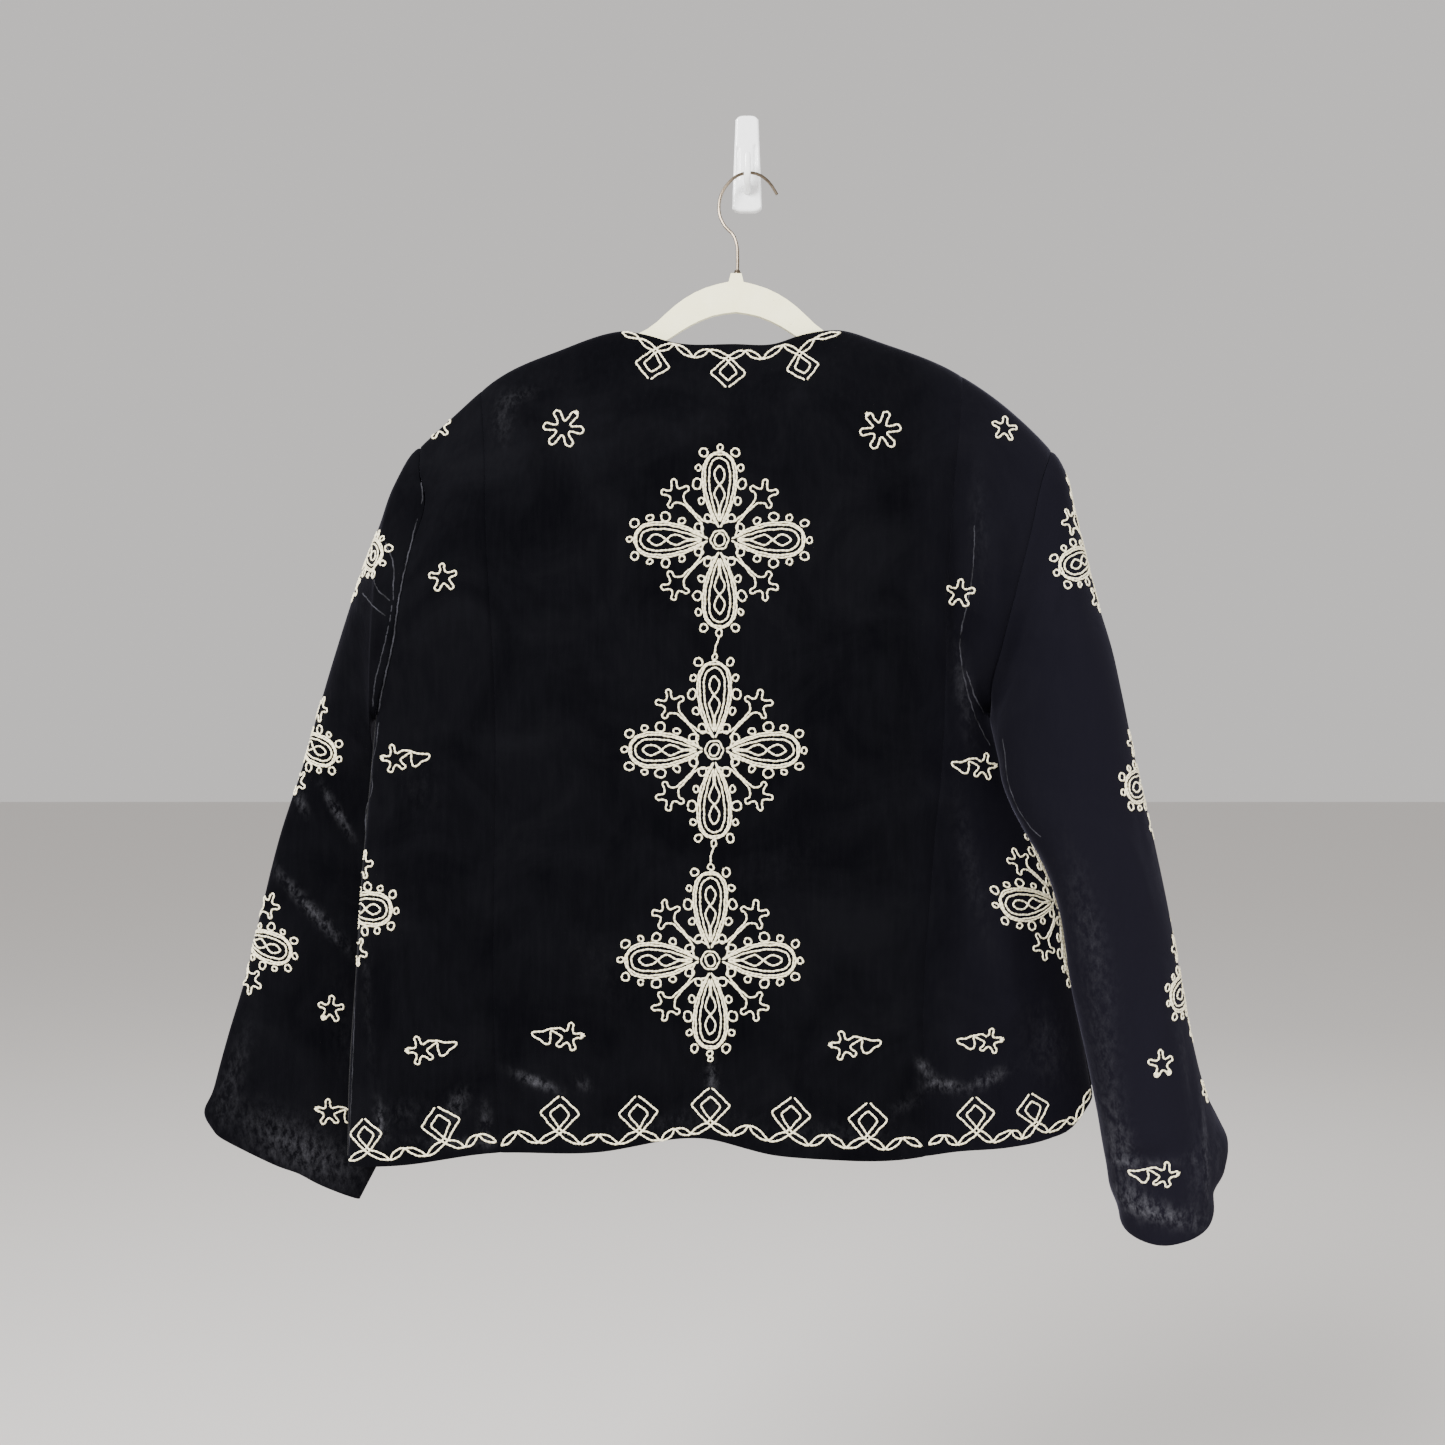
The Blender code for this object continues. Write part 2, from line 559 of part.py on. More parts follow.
def flat_solid(name, outline, thickness, location, rotation, edge, collection, material):
    """Flat outline given its thickness, as a mesh with welded faces and rounded edges."""
    curve = bpy.data.curves.new(name + "_outline", "CURVE")
    curve.dimensions = "2D"
    curve.fill_mode = "BOTH"
    curve.extrude = thickness / 2
    line = curve.splines.new("POLY")
    line.points.add(len(outline) - 1)
    for point, (first, second) in zip(line.points, outline):
        point.co = (first * MM, second * MM, 0.0, 1.0)
    line.use_cyclic_u = True
    guide = bpy.data.objects.new(name + "_outline", curve)
    guide.location = location
    guide.rotation_euler = rotation
    bpy.context.scene.collection.objects.link(guide)
    bpy.context.view_layer.update()
    reading = bpy.context.evaluated_depsgraph_get()
    mesh = bpy.data.meshes.new_from_object(guide.evaluated_get(reading))
    matrix = guide.matrix_world.copy()
    bpy.data.objects.remove(guide)
    work = bmesh.new()
    work.from_mesh(mesh)
    bmesh.ops.remove_doubles(work, verts=work.verts, dist=0.00001)
    bmesh.ops.recalc_face_normals(work, faces=work.faces)
    work.to_mesh(mesh)
    work.free()
    mesh.materials.clear()
    mesh.materials.append(material)
    mesh.shade_smooth()
    mesh.set_sharp_from_angle(angle=math.radians(35))
    thing = bpy.data.objects.new(name, mesh)
    thing.matrix_world = matrix
    collection.objects.link(thing)
    rounding = thing.modifiers.new("Edges", "BEVEL")
    rounding.width = edge
    rounding.segments = 2
    rounding.limit_method = "ANGLE"
    rounding.angle_limit = math.radians(60)
    return thing


for old in list(bpy.data.objects):
    bpy.data.objects.remove(old)

parts = bpy.data.collections.new("embroidered_jacket")
cutters = bpy.data.collections.new("cutters")
bpy.context.scene.collection.children.link(parts)
bpy.context.scene.collection.children.link(cutters)

velvet = plain_material("black velvet", (0.008, 0.008, 0.012), 0.9)
flocked_plastic = plain_material("ivory flocked plastic", (0.83, 0.81, 0.70), 0.85)
steel = plain_material("steel wire", (0.55, 0.50, 0.42), 0.3, 1.0)
white_plastic = plain_material("white plastic", (0.85, 0.86, 0.86), 0.35)

cloth_piece("back_centre", back_centre())
cloth_piece("back_side_left", back_side(LEFT_SEAM, LEFT_ARMHOLE, LEFT_SIDE_SEAM, -1))
cloth_piece("back_side_right", back_side(RIGHT_SEAM, RIGHT_ARMHOLE, RIGHT_SIDE_SEAM, 1))
cloth_piece("front_left", front(LEFT_ARMHOLE, LEFT_SIDE_SEAM, BACK_NECK[0], -1))
cloth_piece("front_right", front(RIGHT_ARMHOLE, RIGHT_SIDE_SEAM, BACK_NECK[-1], 1))
cloth_piece("sleeve_left", sleeve(LEFT_ARMHOLE, LEFT_SLEEVE, -1), closed=True)
cloth_piece("sleeve_right", sleeve(RIGHT_ARMHOLE, RIGHT_SLEEVE, 1), closed=True)
hanger()
hanger_wire()
wall_hook()
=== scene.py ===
"""Looks of the embroidered velvet jacket on its hanger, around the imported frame.

Metres, +Z up, the wall at y = 0 and the jacket's back towards -Y. Tables are in millimetres.
"""

import math
from collections import namedtuple

import bmesh
import bpy
import numpy as np
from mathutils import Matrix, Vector


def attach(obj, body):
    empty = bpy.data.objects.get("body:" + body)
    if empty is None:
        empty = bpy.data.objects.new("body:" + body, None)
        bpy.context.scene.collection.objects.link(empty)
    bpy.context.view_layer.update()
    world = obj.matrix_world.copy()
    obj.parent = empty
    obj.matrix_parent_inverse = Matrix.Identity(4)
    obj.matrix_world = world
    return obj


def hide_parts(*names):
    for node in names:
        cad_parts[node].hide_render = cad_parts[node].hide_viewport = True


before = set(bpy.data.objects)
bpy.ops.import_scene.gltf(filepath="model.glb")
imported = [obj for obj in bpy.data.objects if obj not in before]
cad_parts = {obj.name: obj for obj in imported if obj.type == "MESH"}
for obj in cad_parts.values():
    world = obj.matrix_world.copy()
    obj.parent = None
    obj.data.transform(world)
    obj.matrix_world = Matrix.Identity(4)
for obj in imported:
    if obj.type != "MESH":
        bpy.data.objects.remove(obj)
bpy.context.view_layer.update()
MM = 0.001


# Camera
# It stands level with the middle of the back, as the photograph was taken.
def new_object(name, data):
    """Object in the scene for some data."""
    made = bpy.data.objects.new(name, data)
    bpy.context.scene.collection.objects.link(made)
    return made


CAMERA_PLACE = (-0.0198, -1.377, -0.451)
CAMERA_LENS = 42.35          # with a 36 mm sensor
eye = bpy.data.cameras.new("camera")
eye.lens = CAMERA_LENS
eye.sensor_width = 36.0
camera = new_object("camera", eye)
camera.location = CAMERA_PLACE
camera.rotation_euler = (math.pi / 2, 0.0, 0.0)
bpy.context.scene.camera = camera


# Centre back
# The middle of the back between the two shaped seams, cut in one with the back neckline. Black velvet,
# its pile slightly crushed, most of all along the hem, with painted highlights along some folds and seams.
def table(kind, *rows):
    """Rows of a table as named tuples."""
    return [kind(*row) for row in rows]


Place = namedtuple("Place", "x z")
SHOULDERS = table(
    Place, (-340, -330), (-300, -272), (-258, -233), (-233, -210), (-201, -182), (-148, -157), (-100, -142),
    (-70, -143), (-10, -144), (45, -142), (75, -141.5), (105, -151), (166, -176), (206, -204), (239, -236),
    (270, -275), (300, -330),
)
BACK_NECK = table(
    Place, (-100, -142), (-81, -146), (-58, -153.5), (-10, -155), (21, -155), (42, -147), (55, -143.5),
    (75, -141.5),
)
BACK_HEM = table(
    Place, (-310, -793), (-266, -789), (-201, -779), (-115, -778), (-53, -769), (-35, -769), (23, -781),
    (62, -783.5), (116, -783.5), (158, -778), (200, -775), (230, -770), (250, -763), (262, -752), (272, -743),
)
LEFT_SEAM = table(Place, (-210, -188), (-204, -235), (-199, -327), (-194, -410), (-193, -700), (-189, -779))
RIGHT_SEAM = table(
    Place, (169, -178), (160, -250), (154, -330), (150, -460), (141, -560), (134, -650), (135, -780),
)
LEFT_ARMHOLE = table(
    Place, (-258, -233), (-256, -257), (-250, -276), (-260, -322), (-266, -357), (-276, -410), (-288, -445),
)
LEFT_SIDE_SEAM = table(
    Place, (-288, -445), (-293, -500), (-299, -570), (-304, -650), (-309, -730), (-310, -793),
)
RIGHT_ARMHOLE = table(
    Place, (239, -236), (229, -258), (216, -305), (204, -350), (194, -390), (188, -428), (190, -444),
)
RIGHT_SIDE_SEAM = table(
    Place, (190, -444), (199, -470), (209, -500), (226, -540), (240, -580), (252, -630), (261, -680),
    (267, -715), (272, -743),
)
SHELL = 1.6 * MM             # thickness of the velvet with its lining
FOLD_HALF = 0.50 * MM
FOLD_LIP = 0.7 * MM          # how far the cloth lies flat on itself at a side fold
HANG_PLANE = -33.0 * MM
LEFT_SIDE, RIGHT_SIDE = -0.31, 0.27
MIDDLE_LEFT, MIDDLE_RIGHT = -61.0 * MM, -36.0 * MM
BACK_LEFT, BACK_RIGHT = 24.0 * MM, 45.0 * MM
FRONT_LEFT, FRONT_RIGHT = 18.0 * MM, 25.0 * MM
SIDE_ROLL, BACK_ROLL, FRONT_ROLL = 0.100, 0.130, 0.060
MIDDLE_DROP = 0.130
ARMHOLE_SHARE, ARMHOLE_EASE = 0.37, 0.05
BODY_LENGTH, BACK_WIDTH, SIDE_WIDTH = 0.600, 0.36, 0.1
CLOTH_STEP = 4.0 * MM
CREASE_FADE = 0.25
SEAM_DIP = 1.5 * MM          # how far the cloth turns in at a seam
SEAM_SOFT = 2.6 * MM         # over what distance

# Folds and creases: a line, how far its middle bows aside, how wide and how far out
Crease = namedtuple("Crease", "x0 z0 x1 z1 bow width out")
BACK_CREASES = table(
    Crease, (166, -225, 165, -455, 0, 14, -10), (188, -280, 184, -430, 0, 16, 8),
    (148, -500, 168, -660, 0, 16, -7), (196, -560, 214, -700, 0, 20, 6), (77, -275, 14, -384, 0, 14, 3),
    (-140, -620, -93, -719, 0, 16, -4), (-38, -700, -44, -800, 0, 26, -6), (90, -690, 95, -800, 0, 40, 6),
    (-240, -520, -250, -790, 0, 24, 5),
)
FRONT_CREASES = table(
    Crease, (-120, -300, -130, -780, 0, 30, 7), (70, -330, 90, -780, 0, 30, 7),
    (-200, -560, -215, -790, 0, 22, -5), (150, -520, 165, -770, 0, 22, -5),
)
BACK_LINES = table(
    Crease, (78, -262, 20, -380, 6, 5, -1.6), (151, -500, 171, -650, -5, 5, -2.0),
    (148, -540, 156, -610, 3, 3.5, 1.6), (-148, -612, -96, -712, -5, 5, -1.5),
    (-182, -204, -190, -262, 2, 6, -1.4), (160, -232, 158, -470, 2, 5, -2.5),
    (172, -262, 176, -330, -4, 4.5, 2.2), (176, -330, 170, -372, 4, 4, 1.8), (171, -395, 166, -470, -6, 4, 1.6),
    (163, -380, 172, -398, 2, 3, -1.5), (164, -412, 184, -452, -3, 4, 2.4), (176, -448, 190, -480, 3, 5, -2.6),
    (186, -470, 196, -500, 2, 6, 2.0), (120, -640, 160, -690, 6, 7, -1.5), (-60, -640, -20, -700, -6, 8, -1.2),
    (-270, -470, -285, -560, 4, 8, -2.0), (-262, -560, -288, -660, 5, 7, 1.6),
    (-280, -680, -294, -770, 2, 6, 1.8), (-250, -640, -246, -740, -4, 9, -1.6),
    (-232, -300, -244, -400, 5, 8, 1.4), (-240, -260, -262, -330, -4, 6, -1.6),
    (40, -180, -6, -236, -8, 12, -1.2), (-60, -176, -120, -250, 8, 13, -1.1),
    (110, -300, 60, -430, -8, 10, 1.0), (60, -560, 96, -640, 8, 11, 1.3), (-70, -430, -96, -520, 6, 12, -1.0),
    (210, -600, 226, -720, 5, 7, -2.0), (234, -640, 246, -740, 3, 7, 2.0), (182, -700, 190, -772, 3, 9, 1.5),
    (-108, -726, -116, -778, 2, 9, 1.5), (10, -716, 4, -780, 2, 10, -1.6), (-176, -724, -166, -778, 2, 8, -1.3),
)
FRONT_LINES = table(
    Crease, (-60, -260, -150, -420, 14, 9, 1.6), (50, -270, 120, -400, -10, 8, -1.5),
    (-90, -470, -60, -700, 10, 8, -1.5), (-160, -520, -180, -760, -6, 9, 1.8), (40, -520, 62, -770, 6, 9, -1.6),
    (120, -600, 150, -760, -5, 8, 1.6), (-240, -480, -262, -640, 6, 8, -1.8), (180, -500, 210, -640, 5, 7, 1.8),
    (-30, -420, -26, -600, 3, 6, 1.0), (4, -300, 6, -470, -3, 7, 1.2),
)
# Patches of crushed pile, and painted highlights along folds and seams, both lighter in colour:
# middle, size along and across, tilt in degrees, how strong
CrushAndHighlight = namedtuple("CrushAndHighlight", "x z long short tilt strength")
BACK_CRUSH_AND_HIGHLIGHTS = table(
    CrushAndHighlight, (-281, -757, 4, 16, 4, 0.75), (-262, -748, 22, 12, 20, 0.25), (-222, -742, 7, 14, -30, 0.7),
    (-200, -756, 5, 18, 0, 0.6), (-162, -724, 19, 4, -22, 1.0), (-126, -726, 6, 8, 30, 0.45),
    (-28, -722, 5, 18, 0, 0.7), (134, -714, 9, 5, -50, 0.7), (150, -727, 16, 5, -10, 0.9),
    (184, -722, 16, 5, 26, 0.8), (120, -740, 22, 6, 30, 0.3), (166, -430, 8, 46, 10, 0.35),
    (176, -300, 8, 50, 0, 0.2), (232, -700, 22, 40, 20, 0.3), (170, -560, 10, 70, 12, 0.2),
    (60, -764, 60, 10, 0, 0.25), (-60, -756, 60, 9, 6, 0.25), (-294, -640, 5, 90, 4, 0.25),
    (-250, -500, 22, 30, 0, 0.12), (-190, -215, 10, 26, 0, 0.3), (-176, -196, 14, 7, 20, 0.3),
    (-225, -770, 44, 5, 0, 0.4), (20, -560, 60, 26, 30, 0.08), (-110, -640, 22, 50, 30, 0.10),
)
FRONT_CRUSH_AND_HIGHLIGHTS = table(
    CrushAndHighlight, (-220, -730, 60, 30, 0, 0.5), (120, -730, 70, 28, 0, 0.5), (-40, -600, 14, 120, 0, 0.3),
    (20, -640, 14, 120, 0, 0.3),
)


def spline(knots, values, at):
    """Smooth curve through values at rising knots, straight past its ends."""
    knots, values, at = [np.asarray(one, dtype=float) for one in (knots, values, at)]
    slopes = np.gradient(values, knots, axis=0)
    index = np.clip(np.searchsorted(knots, at, side="right") - 1, 0, len(knots) - 2)
    width = knots[index + 1] - knots[index]
    step = (at - knots[index]) / width
    if values.ndim > 1:
        shape = step.shape + (1,) * (values.ndim - 1)
        step, width = step.reshape(shape), width.reshape(shape)
    inside = np.clip(step, 0.0, 1.0)
    extra = (step - inside) * width
    square, cube = inside ** 2, inside ** 3
    curve = (2 * cube - 3 * square + 1) * values[index] + (3 * square - 2 * cube) * values[index + 1]
    curve = curve + (cube - 2 * square + inside) * width * slopes[index]
    curve = curve + (cube - square) * width * slopes[index + 1]
    return curve + extra * np.where(extra > 0, slopes[index + 1], slopes[index])


def height_at(places, x):
    """Height of an outline that runs across, at x."""
    across, up = np.array(places).T * MM
    return spline(across, up, x)


def across_at(places, z):
    """Distance across of an outline that runs down, at z."""
    across, up = np.array(places[::-1]).T * MM
    return spline(up, across, z)


def unit(vectors):
    """Vectors brought to a length of 1."""
    return vectors / np.maximum(np.linalg.norm(vectors, axis=-1, keepdims=True), 1e-12)


def lengths_along(points):
    """Distance of each point of a line from its first one."""
    return np.concatenate([[0.0], np.cumsum(np.linalg.norm(np.diff(points, axis=0), axis=1))])


def along(places, fractions):
    """Points (x, z) at fractions of the length of an outline."""
    points = np.array(places) * MM
    lengths = lengths_along(points)
    return spline(lengths / lengths[-1], points, fractions)


def ease(value):
    """Smooth step from 0 to 1."""
    value = np.clip(value, 0.0, 1.0)
    return value * value * (3.0 - 2.0 * value)


def rolled(distance, reach):
    """Share of its full depth that cloth has at a distance from its fold."""
    near = np.clip(distance / reach, 0.0, 1.0)
    return np.sqrt(1.0 - (1.0 - near) ** 2)


def side_distance(x, z, seam, inward):
    """Distance from a side fold, or from its upper end at the underarm above that."""
    under = seam[0]
    beside = (x - across_at(seam, z)) * inward
    above = np.hypot(x - under.x * MM, z - under.z * MM)
    return np.maximum(np.where(z < under.z * MM, beside, above) - FOLD_LIP, 0.0)


def creased(x, z, creases):
    """How far folds and creases push the cloth out at (x, z)."""
    total = np.zeros(np.broadcast(x, z).shape)
    for one in creases:
        start = np.array([one.x0, one.z0]) * MM
        run = np.array([one.x1, one.z1]) * MM - start
        length = math.hypot(*run)
        across, down = run / length
        share = ((x - start[0]) * across + (z - start[1]) * down) / length
        aside = (x - start[0]) * down - (z - start[1]) * across
        aside = aside - one.bow * MM * 4.0 * share * (1.0 - share)
        fade = ease(share / CREASE_FADE) * ease((1.0 - share) / CREASE_FADE)
        total = total + one.out * MM * fade * np.exp(-(aside / (one.width * MM)) ** 2)
    return total


def body_surface(x, z, facing):
    """y of the body's outer surface at (x, z): facing -1 is the back, +1 the front."""
    across = np.clip((x - LEFT_SIDE) / (RIGHT_SIDE - LEFT_SIDE), 0.0, 1.0)
    below = np.maximum(height_at(SHOULDERS, x) - z, 0.0)
    side = rolled(side_distance(x, z, LEFT_SIDE_SEAM, 1.0), SIDE_ROLL)
    side = side * rolled(side_distance(x, z, RIGHT_SIDE_SEAM, -1.0), SIDE_ROLL)
    out_plane = MIDDLE_LEFT + (MIDDLE_RIGHT - MIDDLE_LEFT) * across
    middle = HANG_PLANE + (out_plane - HANG_PLANE) * ease(below / MIDDLE_DROP)
    if facing < 0:
        depth = BACK_LEFT + (BACK_RIGHT - BACK_LEFT) * across
        top, creases = rolled(below, BACK_ROLL), BACK_CREASES + BACK_LINES
    else:
        depth = FRONT_LEFT + (FRONT_RIGHT - FRONT_LEFT) * across
        top, creases = rolled(below, FRONT_ROLL), FRONT_CREASES + FRONT_LINES
    bulge = depth * side * top
    bulge = bulge + creased(x, z, creases) * np.minimum(side, top)
    return middle + facing * (bulge + FOLD_HALF)


def patch(top, bottom, left, right, rows, columns):
    """Flat grid of (x, z) between four edges given at the columns and rows."""
    down, over = rows[:, None, None], columns[None, :, None]
    grid = (1 - down) * top[None] + down * bottom[None]
    grid = grid + (1 - over) * left[:, None] + over * right[:, None]
    corners = (1 - down) * ((1 - over) * top[0] + over * top[-1])
    corners = corners + down * ((1 - over) * bottom[0] + over * bottom[-1])
    return grid - corners


EDGE_STEPS = np.array([0.12, 0.5, 1.1, 1.9, 2.9]) * MM
UNDERARM_STEPS = np.array([-3.0, -1.5, -0.6, -0.2, 0.0, 0.2, 0.8, 2.0]) * MM


def fine_steps(length, step):
    """Fractions at even steps, with closer ones at both ends, which roll over."""
    even = np.linspace(0.0, 1.0, int(length / step) + 1)
    close = EDGE_STEPS / length
    return np.unique(np.concatenate([even, close, 1.0 - close]))


def body_rows():
    """Fractions down the body, closer at the shoulder and at the underarm."""
    rows = fine_steps(BODY_LENGTH, CLOTH_STEP)
    return np.unique(np.concatenate([rows, ARMHOLE_SHARE + UNDERARM_STEPS / BODY_LENGTH]))


def fitted(edge, rows, first, last):
    """An edge eased up or down so that it starts and ends at two given points."""
    down = rows[:, None]
    return edge + (first - edge[0]) * (1.0 - down) + (last - edge[-1]) * down


def crush_and_highlight_at(points, patches):
    """How much crushed pile and painted highlight lightens the velvet at each point."""
    total = np.zeros(points.shape[:-1])
    for one in patches:
        turn = math.radians(one.tilt)
        x, z = points[..., 0] - one.x * MM, points[..., 2] - one.z * MM
        u = (x * math.cos(turn) + z * math.sin(turn)) / (one.long * MM)
        v = (z * math.cos(turn) - x * math.sin(turn)) / (one.short * MM)
        total = total + one.strength * np.exp(-u ** 2 - v ** 2)
    return np.clip(total, 0.0, 1.0)


def seam_dip(shares, width):
    """How far the cloth turns in near an edge that is sewn, at shares of the width from it."""
    return SEAM_DIP * np.exp(-shares * width / SEAM_SOFT)


def linear(code):
    """Linear colour from an sRGB hex code."""
    values = [int(code[i:i + 2], 16) / 255.0 for i in (1, 3, 5)]
    return tuple(v / 12.92 if v <= 0.04045 else ((v + 0.055) / 1.055) ** 2.4 for v in values) + (1.0,)


def connect(material, node, links):
    """A node's inputs set to values or linked to sockets."""
    for key, value in links.items():
        if isinstance(value, bpy.types.NodeSocket):
            material.node_tree.links.new(value, node.inputs[key])
        else:
            node.inputs[key].default_value = value


def add_node(material, kind, settings=None, links=None):
    """Node with its settings and its links or values."""
    node = material.node_tree.nodes.new(kind)
    for key, value in (settings or {}).items():
        setattr(node, key, value)
    connect(material, node, links or {})
    return node


def new_material(name):
    """Material and its coordinates on the object."""
    material = bpy.data.materials.new(name)
    material.use_nodes = True
    return material, add_node(material, "ShaderNodeTexCoord").outputs["Object"]


def shaded(material, links):
    """The material with its own shader's sockets set or linked."""
    connect(material, material.node_tree.nodes["Principled BSDF"], links)
    return material


def noise(material, where, scale, detail, roughness=0.5, distortion=0.0):
    """Noise with finer noise on it."""
    return add_node(material, "ShaderNodeTexNoise", links={
        "Vector": where, "Scale": scale, "Detail": detail, "Roughness": roughness,
        "Distortion": distortion}).outputs["Fac"]


def stretched(material, where, scale, rotation=(0.0, 0.0, 0.0)):
    """Coordinates turned and stretched."""
    return add_node(material, "ShaderNodeMapping",
                    links={"Vector": where, "Rotation": rotation, "Scale": scale}).outputs[0]


def ranged(material, value, low=0.0, high=1.0, to_low=0.0, to_high=1.0):
    """Value carried from one range to another."""
    return add_node(material, "ShaderNodeMapRange", links={
        "Value": value, "From Min": low, "From Max": high, "To Min": to_low, "To Max": to_high}).outputs[0]


def reckoned(material, operation, first, second=0.5):
    """Result of one sum."""
    return add_node(material, "ShaderNodeMath", {"operation": operation}, {0: first, 1: second}).outputs[0]


def mixed(material, share, first, second):
    """Colour between two, each a hex code or a socket."""
    first, second = [linear(one) if isinstance(one, str) else one for one in (first, second)]
    mix = add_node(material, "ShaderNodeMix", {"data_type": "RGBA"}, {0: share, 6: first, 7: second})
    return mix.outputs[2]


def bumped(material, height, strength, distance, normal=None):
    """Fine relief, on top of another one if its normal is given."""
    links = {"Strength": strength, "Distance": distance * MM, "Height": height}
    if normal is not None:
        links["Normal"] = normal
    return add_node(material, "ShaderNodeBump", links=links).outputs[0]


def velvet_material():
    """Black velvet: pile that shines at its edges, lighter where it is crushed and where highlights on folds
    are painted, and with painted light that makes it lighter to the right.
    """
    material, where = new_material("black velvet with painted light")
    crush_and_highlight = add_node(material, "ShaderNodeAttribute", {"attribute_name": "crush_and_highlight"}).outputs["Fac"]
    broad = noise(material, where, 14.0, 4.0, 0.6, 0.6)
    slanting = stretched(material, where, (1.0, 1.0, 0.55), (0.0, 0.5, 0.0))
    marks = noise(material, slanting, 230.0, 7.0, 0.72, 0.2)
    streaks = noise(material, stretched(material, where, (1.0, 1.0, 0.12)), 260.0, 3.0, 0.6)
    pile = noise(material, where, 1500.0, 2.0)
    # Crushed pile and painted highlights: silver-grey where the crush attribute is high, broken up by fine
    # marks and the pile.
    silver_crush_and_highlight = reckoned(material, "MULTIPLY", ranged(material, marks, 0.42, 0.86),
                      reckoned(material, "POWER", crush_and_highlight, 1.7))
    silver_crush_and_highlight = reckoned(material, "MULTIPLY", silver_crush_and_highlight, ranged(material, pile, 0.30, 0.70, 0.45))
    tone = reckoned(material, "ADD", ranged(material, broad, 0.35, 0.75),
                    ranged(material, streaks, 0.42, 0.78, 0.0, 0.3))
    # Painted light: lighter and bluer to the right (object x from 0.12 to 0.30 m), standing in for the light
    # that falls more on the right sleeve.
    across = add_node(material, "ShaderNodeSeparateXYZ", links={"Vector": where}).outputs["X"]
    nap_tone_and_side_light = mixed(material, tone, "#030305", "#09090c")
    nap_tone_and_side_light = mixed(material, ranged(material, across, 0.12, 0.30), nap_tone_and_side_light, "#111017")
    relief = bumped(material, broad, 0.4, 5.0, bumped(material, marks, 0.16, 0.8))
    return shaded(material, {
        "Base Color": mixed(material, silver_crush_and_highlight, nap_tone_and_side_light, "#66666c"),
        "Normal": bumped(material, pile, 0.4, 0.25, relief), "Roughness": 0.85,
        "Specular IOR Level": 0.02, "Sheen Weight": 0.12, "Sheen Roughness": 0.35,
        "Sheen Tint": linear("#aaa8c2")})


def lining_material():
    """Black satin lining inside."""
    material, where = new_material("black satin lining")
    twill = add_node(material, "ShaderNodeTexWave", {"bands_direction": "DIAGONAL"},
                     {"Vector": where, "Scale": 700.0, "Distortion": 0.4}).outputs["Fac"]
    return shaded(material, {"Normal": bumped(material, twill, 0.15, 0.1), "Base Color": linear("#0d0d10"),
                             "Roughness": 0.42})


velvet = velvet_material()
lining = lining_material()


def grid_faces(rows, columns, closed):
    """Quads between neighbouring points of a grid."""
    wrap = columns if closed else columns - 1
    row = np.arange(rows - 1)[:, None] * columns
    column = np.arange(wrap)[None, :]
    after = (column + 1) % columns
    quads = np.stack([row + column, row + columns + column, row + columns + after, row + after], axis=-1)
    return quads.reshape(-1, 4)


def new_mesh(name, points, faces, *materials):
    """Smooth mesh from arrays of points and faces."""
    mesh = bpy.data.meshes.new(name)
    mesh.from_pydata(points.reshape(-1, 3).tolist(), [], faces.tolist())
    mesh.shade_smooth()
    for material in materials:
        mesh.materials.append(material)
    return mesh


def cloth_piece(name, node, points, crush_and_highlight, closed=False):
    """Velvet piece with its lining, from a grid of points on its outer side."""
    mesh = new_mesh(name, points, grid_faces(*points.shape[:2], closed), velvet, lining)
    # Crushed pile and painted highlights, per point, which lighten the velvet's colour.
    mesh.attributes.new("crush_and_highlight", "FLOAT", "POINT").data.foreach_set("value", crush_and_highlight.reshape(-1))
    piece = new_object(name, mesh)
    wall = piece.modifiers.new("Wall", "SOLIDIFY")
    wall.thickness = SHELL
    wall.offset = -1.0
    wall.material_offset = 1
    wall.material_offset_rim = 0
    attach(piece, "root")
    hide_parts(node)
    return piece


def lay_out(flat, facing, dip):
    """Points of the body's surface over a flat grid, in an order that faces outwards."""
    depth = body_surface(flat[..., 0], flat[..., 1], facing) - facing * dip
    points = np.stack([flat[..., 0], depth, flat[..., 1]], axis=-1)
    return points if facing < 0 else points[:, ::-1]


def panel(inner, outer, rows, columns, line, lift=0.0, fit=False):
    """Flat grid between two edges that run down, from a line at its top to the hem."""
    across = inner[0, 0] + (outer[0, 0] - inner[0, 0]) * columns
    top = np.stack([across, line(across)], axis=1)
    across = inner[-1, 0] + (outer[-1, 0] - inner[-1, 0]) * columns
    bottom = np.stack([across, height_at(BACK_HEM, across) + lift], axis=1)
    inner = fitted(inner, rows, top[0], bottom[0])
    if fit:
        outer = fitted(outer, rows, top[-1], bottom[-1])
    outer[0], outer[-1] = top[-1], bottom[-1]
    return patch(top, bottom, inner, outer, rows, columns)


def shoulder_line(across):
    """Height of the shoulders at a distance across."""
    return height_at(SHOULDERS, across)


def shoulders_and_neck(across):
    """Height of the shoulders, and of the neckline between them."""
    on_neck = (across > BACK_NECK[0].x * MM) & (across < BACK_NECK[-1].x * MM)
    return np.where(on_neck, height_at(BACK_NECK, across), shoulder_line(across))


def back_centre():
    """Grid of the centre back."""
    rows, columns = body_rows(), fine_steps(BACK_WIDTH, CLOTH_STEP)
    flat = panel(along(LEFT_SEAM, rows), along(RIGHT_SEAM, rows), rows, columns, shoulders_and_neck, fit=True)
    dip = seam_dip(columns, BACK_WIDTH) + seam_dip(1.0 - columns, BACK_WIDTH)
    return lay_out(flat, -1, dip[None, :])


points = back_centre()
cloth_piece("centre_back", "back_centre", points, crush_and_highlight_at(points, BACK_CRUSH_AND_HIGHLIGHTS))


